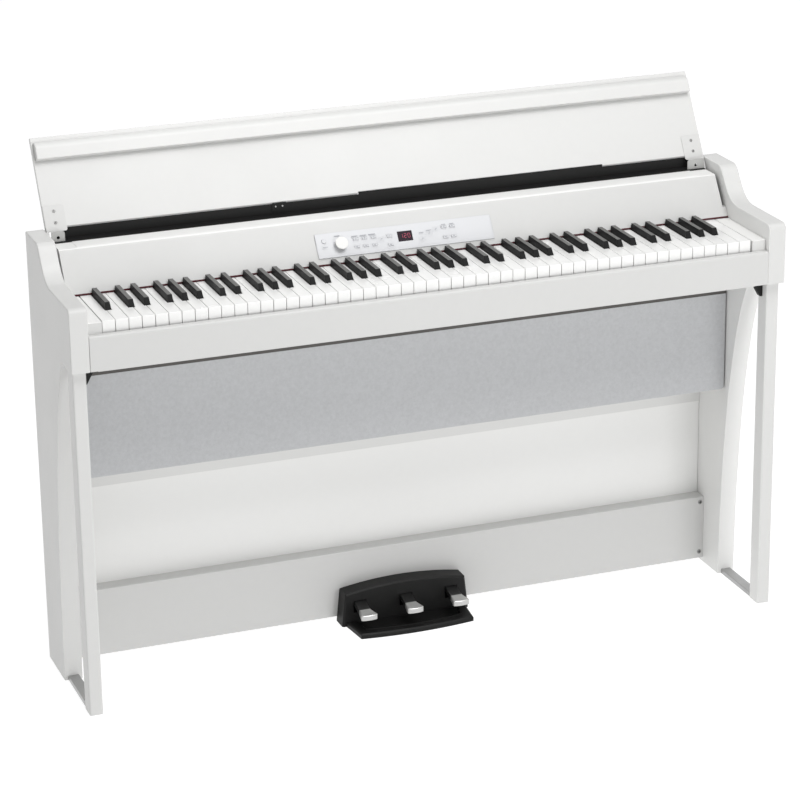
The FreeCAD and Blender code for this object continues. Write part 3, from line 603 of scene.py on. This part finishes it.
def placed_copies(tree, given, made, instance, scale=None):
    """Put the instance on every point with its turn, make it real and give it the group's finish."""
    spread = tree.nodes.new("GeometryNodeInstanceOnPoints")
    turn = tree.nodes.new("FunctionNodeEulerToRotation")
    real = tree.nodes.new("GeometryNodeRealizeInstances")
    finish = tree.nodes.new("GeometryNodeSetMaterial")
    tree.links.new(carried(tree, "turn"), turn.inputs[0])
    tree.links.new(given["Geometry"], spread.inputs["Points"])
    tree.links.new(instance, spread.inputs["Instance"])
    tree.links.new(turn.outputs[0], spread.inputs["Rotation"])
    if scale:
        tree.links.new(scale, spread.inputs["Scale"])
    tree.links.new(spread.outputs[0], real.inputs[0])
    tree.links.new(real.outputs[0], finish.inputs["Geometry"])
    tree.links.new(given["Finish"], finish.inputs["Material"])
    tree.links.new(finish.outputs[0], made["Geometry"])


def group_bars():
    """A block on every point, as large as the point's size: print, digit segments and recesses."""
    tree, given, made = geometry_group("Bars On Points", [])
    block = tree.nodes.new("GeometryNodeMeshCube")
    block.inputs["Size"].default_value = FULL_SIZE
    placed_copies(tree, given, made, block.outputs["Mesh"], carried(tree, "size"))
    return tree


def group_screws():
    """A pan-head screw on every point: the point is the middle of the seat under its head."""
    tree, given, made = geometry_group("Screws On Points", [
        ("Head Radius", "NodeSocketFloat", 3 * MM), ("Head Height", "NodeSocketFloat", 2 * MM),
        ("Shank Radius", "NodeSocketFloat", 1.5 * MM), ("Shank Length", "NodeSocketFloat", 10 * MM)])
    half = math_node(tree, "MULTIPLY", given["Head Height"], 0.5)
    crown = math_node(tree, "MULTIPLY", given["Head Radius"], CROWN_SHARE)
    sunk = math_node(tree, "MULTIPLY", given["Shank Length"], -1.0)
    join = tree.nodes.new("GeometryNodeJoinGeometry")
    for low, high, depth, foot, sides in (
            (given["Shank Radius"], given["Shank Radius"], given["Shank Length"], sunk, SHANK_SIDES),
            (given["Head Radius"], given["Head Radius"], half, None, HEAD_SIDES),
            (given["Head Radius"], crown, half, half, HEAD_SIDES)):
        part = tree.nodes.new("GeometryNodeMeshCone")
        part.inputs["Vertices"].default_value = sides
        tree.links.new(high, part.inputs["Radius Top"])
        tree.links.new(low, part.inputs["Radius Bottom"])
        tree.links.new(depth, part.inputs["Depth"])
        move = tree.nodes.new("GeometryNodeTransform")
        offset = tree.nodes.new("ShaderNodeCombineXYZ")
        if foot:
            tree.links.new(foot, offset.inputs["Z"])
        tree.links.new(part.outputs["Mesh"], move.inputs["Geometry"])
        tree.links.new(offset.outputs[0], move.inputs["Translation"])
        tree.links.new(move.outputs[0], join.inputs[0])
    placed_copies(tree, given, made, join.outputs[0])
    return tree


def copies(name, rows, finish, group="bars", values=None):
    """Plain mesh of the group's copies on points; each row holds a place, a size and a turn."""
    mesh = bpy.data.meshes.new(name)
    mesh.from_pydata([row[0] for row in rows], [], [])
    for label, column in (("size", 1), ("turn", 2)):
        layer = mesh.attributes.new(label, "FLOAT_VECTOR", "POINT")
        for i, row in enumerate(rows):
            layer.data[i].vector = row[column]
    piece = new_piece(name, mesh)
    modifier = piece.modifiers.new("Copies", "NODES")
    modifier.node_group = GROUPS[group]
    values = dict(values or {}, Finish=MATERIALS[finish])
    for item in GROUPS[group].interface.items_tree:
        if item.in_out == "INPUT" and item.name in values:
            modifier[item.identifier] = values[item.name]
    return plain_mesh(piece)


def coat_node(node):
    """Give a CAD node that stays as it is its material."""
    mesh = NODES[node].data
    mesh.materials.clear()
    mesh.materials.append(MATERIALS[SLOT_OF[node]])


def second_material(piece, finish, wanted):
    """Give the faces for which wanted(middle of the face) is true another material."""
    piece.data.materials.append(MATERIALS[finish])
    for face in piece.data.polygons:
        if wanted(face.center):
            face.material_index = len(piece.data.materials) - 1


def head_places(node, axis):
    """Each screw of a node: the middle of its head's top, its head's height and radius, and its length."""
    bm = bmesh.new()
    bm.from_mesh(NODES[node].data)
    bmesh.ops.remove_doubles(bm, verts=bm.verts, dist=SAME_POINT)
    waiting, screws = set(bm.verts), []
    for first in bm.verts:
        if first not in waiting:
            continue
        waiting.remove(first)
        reached = [first]
        for vert in reached:
            near = [e.other_vert(vert) for e in vert.link_edges]
            reached += [v for v in near if v in waiting]
            waiting.difference_update(near)
        levels = [v.co.dot(axis) for v in reached]
        top = max(levels)
        rim = [v.co for v, level in zip(reached, levels) if level > top - SAME_LEVEL]
        under_head = max(level for level in levels if level < top - SAME_LEVEL)
        middle = sum(rim, Vector()) / len(rim)
        screws.append((middle, top - under_head, max((c - middle).length for c in rim), top - min(levels)))
    bm.free()
    return screws


def round_screws(node, tilt, growth=1.0):
    """Round-headed screws with a cross recess, which stand for the node's screws on a leaning face."""
    face = Face(node, tilt)
    found = head_places(node, face.out)
    height, radius, whole = found[0][1:]
    radius *= growth
    seats = [(middle - face.out * height, FULL_SIZE, face.turn) for middle, *_ in found]
    sizes = {"Head Radius": radius, "Head Height": height, "Shank Radius": SHANK_SHARE * radius,
             "Shank Length": whole - height}
    screws = copies("round_" + node, seats, "screw_steel", "screws", sizes)
    seat(screws, BODY_OF[node], SLOT_OF[node], node)
    along = bpy.context.scene.piano_hardware.recess_share * 2 * radius
    across = RECESS_WIDTH_SHARE * along
    bars = [(middle, (*size, PRINT_THICKNESS), face.turn) for middle, *_ in found
            for size in ((along, across), (across, along))]
    cross = copies("cross_recesses_" + node, bars, "recess")
    seat(cross, BODY_OF[node], SLOT_OF[node])


# ---- operators --------------------------------------------------------------
class PIANO_OT_case(bpy.types.Operator):
    """Round and lacquer the side panels, boards, legs and panel housing"""
    bl_idname = "piano.case"
    bl_label = "Case and Stand"

    # The key slip and housing take painted shade, the pedal board deeper painted shade and the back board
    # painted light.
    FINISH = {"rear_cover": "white_board", "speaker_box_floor": "white_board", "key_bed": "white_board",
              "key_slip": "painted_shade_board", "front_legs": "white_board", "key_blocks": "white_board",
              "panel_housing": "painted_shade_board", "back_board": "painted_light_board", "pedal_board": "deeper_shade_board",
              "speaker_baffle": "baffle_board"}

    def execute(self, context):
        case = context.scene.piano_case
        made = {node: dressed(node, case.panel_edge, 4) for node in ("side_panel_left", "side_panel_right")}
        for node, finish in self.FINISH.items():
            made[node] = dressed(node, case.board_edge, finish=finish)
        self.painted_light_faces(made, case.board_edge)
        self.rail(case)
        return {"FINISHED"}

    def painted_light_faces(self, made, edge):
        """Painted light: lighter paint on the right inner faces and on the tops of the key blocks and the
        housing, which the lamps leave darker.
        """
        inside, outside = (corner.x for corner in extent("side_panel_right"))
        under_keys = extent("key_bed")[0].z
        leg_inside = extent("front_legs")[1].x - LEG_WIDTH + edge
        block_top, housing_top = (extent(node)[1].z for node in ("key_blocks", "panel_housing"))
        wanted = {
            "side_panel_right": lambda c: c.x < inside + MM or (c.x < outside - MM and c.z < under_keys),
            "front_legs": lambda c: 0 < c.x < leg_inside,
            "key_blocks": lambda c: c.z > block_top - edge,
            "panel_housing": lambda c: c.z > housing_top - 2 * edge,
        }
        for node, test in wanted.items():
            second_material(made[node], "painted_light_board", test)

    def rail(self, case):
        """Low rail across the top of the back board, under the speaker box. Its paint is painted light too,
        but less than the back board's, so it shows as a darker band.
        """
        back, box_floor = extent("back_board"), extent("speaker_box_floor")
        low = Vector((back[0].x, back[0].y - RAIL_THICKNESS, box_floor[0].z - case.rail_height))
        high = Vector((back[1].x, back[0].y - UNDERSIDE_GAP, box_floor[0].z - UNDERSIDE_GAP))
        rail = copies("speaker_box_rail", [((low + high) / 2, high - low, NO_TURN)], "rail_paint")
        seat(rail, BODY_OF["back_board"], SLOT_OF["back_board"])


class PIANO_OT_lid(bpy.types.Operator):
    """Round and lacquer the lid board and its nose, and finish the brackets that carry it"""
    bl_idname = "piano.lid"
    bl_label = "Lid"

    CLIP_SCREW = {"Head Radius": 1.6 * MM, "Head Height": 0.8 * MM, "Shank Radius": 0.8 * MM,
                  "Shank Length": STRIP_LIP_THICKNESS}

    def execute(self, context):
        case = context.scene.piano_case
        dressed("lid_board", case.lid_edge, 4)
        dressed("lid_nose", case.lid_edge, 4)
        dressed("lid_arms", FINE_EDGE, 2)
        coat_node("lid_pivot_pins")
        self.strip(context.scene.piano_hardware)
        return {"FINISHED"}

    def strip(self, hardware):
        """Black strip with grey end plates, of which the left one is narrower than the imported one."""
        low, high = extent("top_strip")
        inner = high.x - END_PLATE_WIDTH
        narrower = END_PLATE_WIDTH - hardware.end_plate
        foot = high.z - STRIP_LIP_RISE

        def reshape(vert):
            """Draw the lip out to the ends and up, narrow the left end plate, and raise both plates."""
            across, past = abs(vert.co.x), 0.0
            at_end = across > high.x - MM
            if vert.co.z < foot - UNDERSIDE_GAP or (at_end and vert.co.z < foot + MM):
                return
            at_plate = vert.co.y < low.y + END_PLATE_BACK
            in_hole = across > inner + END_PLATE_ROUND and not at_end
            if not at_plate:
                past = high.x - LIP_END_GAP - across
                if vert.co.z > high.z - MM:
                    vert.co.z += LIP_ADDED
            elif vert.co.x < 0 and not at_end:
                past = narrower / 2 if in_hole else narrower
            vert.co.x += math.copysign(past, vert.co.x)
            if at_plate and not in_hole and vert.co.z > foot + MM:
                vert.co.z += END_PLATE_ADDED

        def on_end_plate(c):
            beside = c.x > inner or c.x < -inner - narrower
            return beside and c.z > foot + UNDERSIDE_GAP and c.y < low.y + END_PLATE_BACK

        strip = dressed("top_strip", FINE_EDGE, 2, reshape=reshape)
        second_material(strip, "end_plate", on_end_plate)
        self.step_and_clip(high.z)

    def step_and_clip(self, lip_top):
        """Step that fills the lid's notch, and a clip with two screws, on the lip of the strip."""
        lip_y = max(v.co.y for v in NODES["top_strip"].data.vertices if v.co.z > lip_top - MM)
        thick = STRIP_LIP_THICKNESS
        left, right = LID_NOTCH
        step = (((left + right) / 2, lip_y - thick / 2, lip_top + STEP_RISE / 2),
                (right - left, STEP_SHARE * thick, STEP_RISE), NO_TURN)
        clip = ((CLIP_X, lip_y - 1.5 * thick, lip_top + CLIP_RISE - CLIP_HEIGHT / 2),
                (CLIP_WIDTH, thick, CLIP_HEIGHT), NO_TURN)
        added = copies("strip_step_and_clip", [step, clip], "black_plastic")
        seat(added, BODY_OF["top_strip"], SLOT_OF["top_strip"])
        screws = [((CLIP_X + side * CLIP_WIDTH / 4, lip_y - 2 * thick, lip_top - CLIP_HEIGHT / 4),
                   FULL_SIZE, (math.pi / 2, 0, 0)) for side in (-1, 1)]
        heads = copies("clip_screws", screws, "screw_steel", "screws", self.CLIP_SCREW)
        seat(heads, BODY_OF["top_strip"], SLOT_OF["lid_screws"])


class PIANO_OT_keys(bpy.types.Operator):
    """Round the keys' edges and give them their plastic"""
    bl_idname = "piano.keys"
    bl_label = "Keys"

    def execute(self, context):
        keys = context.scene.piano_keys
        for node in NODES:
            if node.startswith("keys_"):
                edge, segments = (keys.black_edge, 3) if node.endswith("sharp") else (keys.white_edge, 2)
                dressed(node, edge, segments, angle=20.0)
        coat_node("felt_strip")
        coat_node("key_rails")
        return {"FINISHED"}


class PIANO_OT_controls(bpy.types.Operator):
    """Finish the control plate, its buttons, knob, display and printed marks"""
    bl_idname = "piano.controls"
    bl_label = "Controls"

    # Printed bars on the plate: x and height from its middle, length and height, in millimetres.
    LABELS = ((-95.5, 11.0, 11.5, 1.3), (-79.0, 11.0, 12.0, 1.3), (-62.5, 11.0, 12.5, 1.3),
              (-154.0, -4.0, 10.0, 1.0), (-128.0, 15.5, 10.0, 1.0), (31.0, 3.0, 9.0, 1.0),
              (46.0, 6.0, 10.0, 1.0), (76.0, 14.0, 8.0, 0.9), (92.0, 14.0, 8.0, 0.9))
    # Printed boxes that no button fills: x and height from the middle.
    SPARE_BOXES = ((-46.0, 0.0), (31.0, -8.5), (46.0, 0.0), (60.5, 7.0))
    BOX_SIZE = (11.5, 7.0)
    BOX_LINE = 0.35
    ICON_SIZE = (3.4, 1.1)
    # Half width, line and pitch of a digit, against half its height.
    DIGIT_SHARES = (0.5, 0.16, 1.75)
    # Lit segments of each digit, and each segment's place and direction in a digit of unit size.
    SEGMENTS = {"a": (0, 1, 0), "b": (1, 0.5, 1), "c": (1, -0.5, 1), "d": (0, -1, 0), "e": (-1, -0.5, 1),
                "f": (-1, 0.5, 1), "g": (0, 0, 0)}
    LIT = {"0": "abcdef", "1": "bc", "2": "abdeg", "3": "abcdg", "4": "bcfg", "5": "acdfg", "6": "acdefg",
           "7": "abc", "8": "abcdefg", "9": "abcdfg"}

    def execute(self, context):
        controls = context.scene.piano_controls
        self.tilt = self.face_tilt()
        dressed("control_plate", THIN_EDGE, 2)
        buttons = [node for node in NODES if node.startswith("button_")]
        for node in buttons:
            self.button(node)
        dressed("power_button", FINE_EDGE)
        self.knob(controls.knob_growth)
        coat_node("display_window")
        coat_node("control_board")
        self.prints(buttons)
        self.digits(controls)
        return {"FINISHED"}

    def face_tilt(self):
        """Lean of the panel's face, from the side of the display window."""
        corners = [v.co for v in NODES["display_window"].data.vertices]
        foot = min(corners, key=lambda c: c.y)
        head = max((c for c in corners if abs(c.x - foot.x) < MM), key=lambda c: c.z + c.y)
        return math.atan2(head.y - foot.y, head.z - foot.z)

    def knob(self, growth):
        """Volume knob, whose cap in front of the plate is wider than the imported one."""
        cap, plate = Face("volume_knob", self.tilt), Face("control_plate", self.tilt)

        def widen(vert):
            if vert.co.dot(cap.out) > plate.front:
                across, above = vert.co.x - cap.middle[0], vert.co.dot(cap.up) - cap.middle[1]
                vert.co += (growth - 1) * (Vector((across, 0, 0)) + above * cap.up)

        dressed("volume_knob", KNOB_EDGE, 4, finish="knob", reshape=widen)

    def bar(self, face, x, up, length, height):
        """Row for one printed bar on a face, from millimetres."""
        return (face.at(x * MM, up * MM), (length * MM, height * MM, PRINT_THICKNESS), face.turn)

    def button(self, node):
        """Button with a short printed mark on its face."""
        dressed(node, FINE_EDGE)
        mark = copies("mark_on_" + node, [self.bar(Face(node, self.tilt), 0, 0, *self.ICON_SIZE)], "print")
        seat(mark, BODY_OF[node], SLOT_OF[node])

    def prints(self, buttons):
        """Printed labels, boxes round the buttons and round the spare marks, and a painted shade line round
        the plate's outline.
        """
        face = Face("control_plate", self.tilt)
        labels = [self.bar(face, *label) for label in self.LABELS]
        labels += [self.bar(face, x, up, *self.ICON_SIZE) for x, up in self.SPARE_BOXES]
        middles = []
        for node in buttons:
            own = Face(node, self.tilt)
            middles.append([(a - b) / MM for a, b in zip(own.middle, face.middle)])
        lines = []
        wide, high = self.BOX_SIZE
        for x, up in middles + list(self.SPARE_BOXES):
            lines += [self.bar(face, x, up + side * high / 2, wide, self.BOX_LINE) for side in (-1, 1)]
            lines += [self.bar(face, x + side * wide / 2, up, self.BOX_LINE, high) for side in (-1, 1)]
        # Painted shade: faint lines round the plate's edge, where its gap is shadowed.
        wide, high = (half - self.BOX_LINE for half in face.halves)
        lines += [self.bar(face, 0, side * high, 2 * wide, self.BOX_LINE) for side in (-1, 1)]
        lines += [self.bar(face, side * wide, 0, self.BOX_LINE, 2 * high) for side in (-1, 1)]
        for name, rows, finish in (("plate_labels", labels, "print"), ("plate_boxes", lines, "faint_print_and_shade")):
            piece = copies(name, rows, finish)
            seat(piece, BODY_OF["control_plate"], SLOT_OF["control_plate"])

    def digits(self, controls):
        """Lit digits of seven segments each on the display window."""
        face = Face("display_window", self.tilt)
        tall = controls.digit_height / 2 / MM
        broad, line, pitch = (share * tall for share in self.DIGIT_SHARES)
        rows = []
        for place, digit in enumerate(controls.shown):
            middle = (place - (len(controls.shown) - 1) / 2) * pitch
            for letter in self.LIT[digit]:
                x, up, upright = self.SEGMENTS[letter]
                length, height = (line, tall - 1.5 * line) if upright else (2 * broad - line, line)
                rows.append(self.bar(face, middle + x * broad, up * tall, length, height))
        piece = copies("lit_digits", rows, "digits")
        seat(piece, BODY_OF["display_window"], SLOT_OF["display_window"])


class PIANO_OT_speakers(bpy.types.Operator):
    """Cover the speaker front with cloth, paint a shade line across it and finish the drivers behind it"""
    bl_idname = "piano.speakers"
    bl_label = "Speakers"

    def execute(self, context):
        dressed("speaker_grille", GRILLE_EDGE)
        coat_node("woofers")
        coat_node("tweeters")
        self.shade_line(context.scene.piano_case.cloth_shade_line)
        return {"FINISHED"}

    def shade_line(self, depth):
        """Painted shade: a dark line across the cloth at a depth below its frame's top, for the shadow under
        the key bed.
        """
        low, high = extent("speaker_grille")
        rows = [((0, low.y - SHADE_LINE_THICKNESS / 2, high.z - depth),
                 (high.x - low.x - SHADE_LINE_THICKNESS, SHADE_LINE_THICKNESS, SHADE_LINE_HEIGHT), NO_TURN)]
        shade_line = copies("speaker_cloth_edging", rows, "baffle_board")
        seat(shade_line, BODY_OF["speaker_grille"], SLOT_OF["speaker_baffle"])


class PIANO_OT_pedals(bpy.types.Operator):
    """Finish the pedal case, its shaft and the three pedals"""
    bl_idname = "piano.pedals"
    bl_label = "Pedals"

    def execute(self, context):
        dressed("pedal_case", PEDAL_CASE_EDGE)
        coat_node("pedal_shaft")
        for node in ("pedal_left", "pedal_middle", "pedal_right"):
            dressed(node, PEDAL_EDGE)
        return {"FINISHED"}


class PIANO_OT_hardware(bpy.types.Operator):
    """Finish the foot bars, corner brackets and screws"""
    bl_idname = "piano.hardware"
    bl_label = "Hardware"

    def execute(self, context):
        dressed("foot_bars", FOOT_BAR_EDGE)
        half_way = sum(corner.z for corner in extent("leg_brackets")) / 2

        def lengthen(vert):
            if vert.co.z < half_way:
                vert.co.z -= BRACKET_DROP

        dressed("leg_brackets", THIN_EDGE, 2, reshape=lengthen)
        round_screws("pedal_board_screws", 0.0, context.scene.piano_hardware.board_head)
        round_screws("lid_screws", LID_LEAN)
        return {"FINISHED"}


class PIANO_OT_stage(bpy.types.Operator):
    """Lay the pale floor, hang the lamps and place the camera"""
    bl_idname = "piano.stage"
    bl_label = "Stage"

    CAMERA_PLACE = (-1.7797, -4.7970, 2.2779)
    CAMERA_YAW, CAMERA_PITCH, CAMERA_ROLL = 20.206, 19.708, -0.776
    CAMERA_LENS, CAMERA_SENSOR, CAMERA_REACH = 132.9, 36.0, 100.0
    FLOOR_REACH = 30.0
    WHITE = (1, 1, 1, 1)
    # Each lamp's place, what it points at and its width.
    LAMPS = {"main_light": ((0.8, -1.7, 4.0), (0.0, 0.0, 0.45), 2.4),
             "low_light": ((1.2, -4.2, 0.6), (0.0, 0.0, 0.45), 1.5),
             "fill_light": ((-0.4, 0.2, 1.9), (0.64, -0.05, 0.8), 1.0)}

    def execute(self, context):
        stage = context.scene.piano_stage
        self.floor(stage)
        self.lamps(stage)
        self.sky(stage)
        self.camera()
        context.scene.view_settings.view_transform = "Standard"
        return {"FINISHED"}

    def floor(self, stage):
        """Pale floor that gives some light by itself."""
        bm = bmesh.new()
        bmesh.ops.create_grid(bm, x_segments=1, y_segments=1, size=self.FLOOR_REACH)
        recipe = Recipe("Pale Floor")
        grain = recipe.effect("grain", Scale=60.0)
        recipe.use_colour(recipe.tint(grain["Tone"], stage.floor, 0.01))
        recipe.set(Roughness=0.9, Specular_IOR_Level=0.1, Emission_Color=self.WHITE,
                   Emission_Strength=stage.floor_glow)
        floor = new_piece("floor", mesh_from("floor", bm), recipe.material)

    def lamps(self, stage):
        """Soft round lamps; each takes its power from the setting of its name."""
        for name, (place, aim, size) in self.LAMPS.items():
            data = bpy.data.lights.new(name, "AREA")
            data.shape = "DISK"
            data.size = size
            data.energy = getattr(stage, name)
            lamp = new_piece(name, data)
            lamp.location = place
            lamp.rotation_mode = "QUATERNION"
            lamp.rotation_quaternion = (Vector(aim) - lamp.location).to_track_quat("-Z", "Y")

    def sky(self, stage):
        """Even light from all around, which the camera and reflections see as white."""
        world = bpy.data.worlds.new("Studio")
        bpy.context.scene.world = world
        world.use_nodes = True
        tree = world.node_tree
        background = tree.nodes["Background"]
        background.inputs["Color"].default_value = self.WHITE
        rays = tree.nodes.new("ShaderNodeLightPath")
        seen = math_node(tree, "MAXIMUM", rays.outputs["Is Camera Ray"], rays.outputs["Is Glossy Ray"])
        seen = math_node(tree, "MAXIMUM", seen, rays.outputs["Is Transmission Ray"])
        strength = math_node(tree, "MULTIPLY_ADD", seen, 1.0 - stage.sky, stage.sky)
        tree.links.new(strength, background.inputs["Strength"])

    def camera(self):
        """Camera at its place, turned right by its yaw, down by its pitch and rolled."""
        data = bpy.data.cameras.new("camera")
        data.sensor_width = self.CAMERA_SENSOR
        data.lens = self.CAMERA_LENS
        data.clip_end = self.CAMERA_REACH
        camera = new_piece("camera", data)
        turned = Matrix.Translation(self.CAMERA_PLACE)
        turns = ((-self.CAMERA_YAW, "Z"), (90 - self.CAMERA_PITCH, "X"), (self.CAMERA_ROLL, "Z"))
        for degrees, axis in turns:
            turned @= Matrix.Rotation(math.radians(degrees), 4, axis)
        camera.matrix_world = turned
        bpy.context.scene.camera = camera


class PIANO_PT_panel(bpy.types.Panel):
    """Lists the piano's pieces and their settings"""
    bl_idname = "PIANO_PT_panel"
    bl_label = "Console Piano"
    bl_space_type = "VIEW_3D"
    bl_region_type = "UI"
    bl_category = "Piano"

    def draw(self, context):
        for kind in SETTINGS:
            settings = getattr(context.scene, kind)
            for name in settings.__annotations__:
                self.layout.prop(settings, name)
        for operator in OPERATORS:
            self.layout.operator(operator.bl_idname)


SETTINGS = {"piano_case": CaseSettings, "piano_keys": KeySettings, "piano_controls": ControlSettings,
            "piano_hardware": HardwareSettings, "piano_stage": StageSettings}
OPERATORS = (PIANO_OT_case, PIANO_OT_lid, PIANO_OT_keys, PIANO_OT_controls, PIANO_OT_speakers,
             PIANO_OT_pedals, PIANO_OT_hardware, PIANO_OT_stage)


def register():
    for name, settings in SETTINGS.items():
        bpy.utils.register_class(settings)
        setattr(bpy.types.Scene, name, bpy.props.PointerProperty(type=settings))
    for operator in OPERATORS:
        bpy.utils.register_class(operator)
    bpy.utils.register_class(PIANO_PT_panel)


def unregister():
    bpy.utils.unregister_class(PIANO_PT_panel)
    for operator in reversed(OPERATORS):
        bpy.utils.unregister_class(operator)
    for name, settings in SETTINGS.items():
        delattr(bpy.types.Scene, name)
        bpy.utils.unregister_class(settings)


def main():
    register()
    build_groups()
    build_materials()
    bpy.ops.piano.case()
    bpy.ops.piano.lid()
    bpy.ops.piano.keys()
    bpy.ops.piano.controls()
    bpy.ops.piano.speakers()
    bpy.ops.piano.pedals()
    bpy.ops.piano.hardware()
    bpy.ops.piano.stage()


if __name__ == "__main__":
    main()
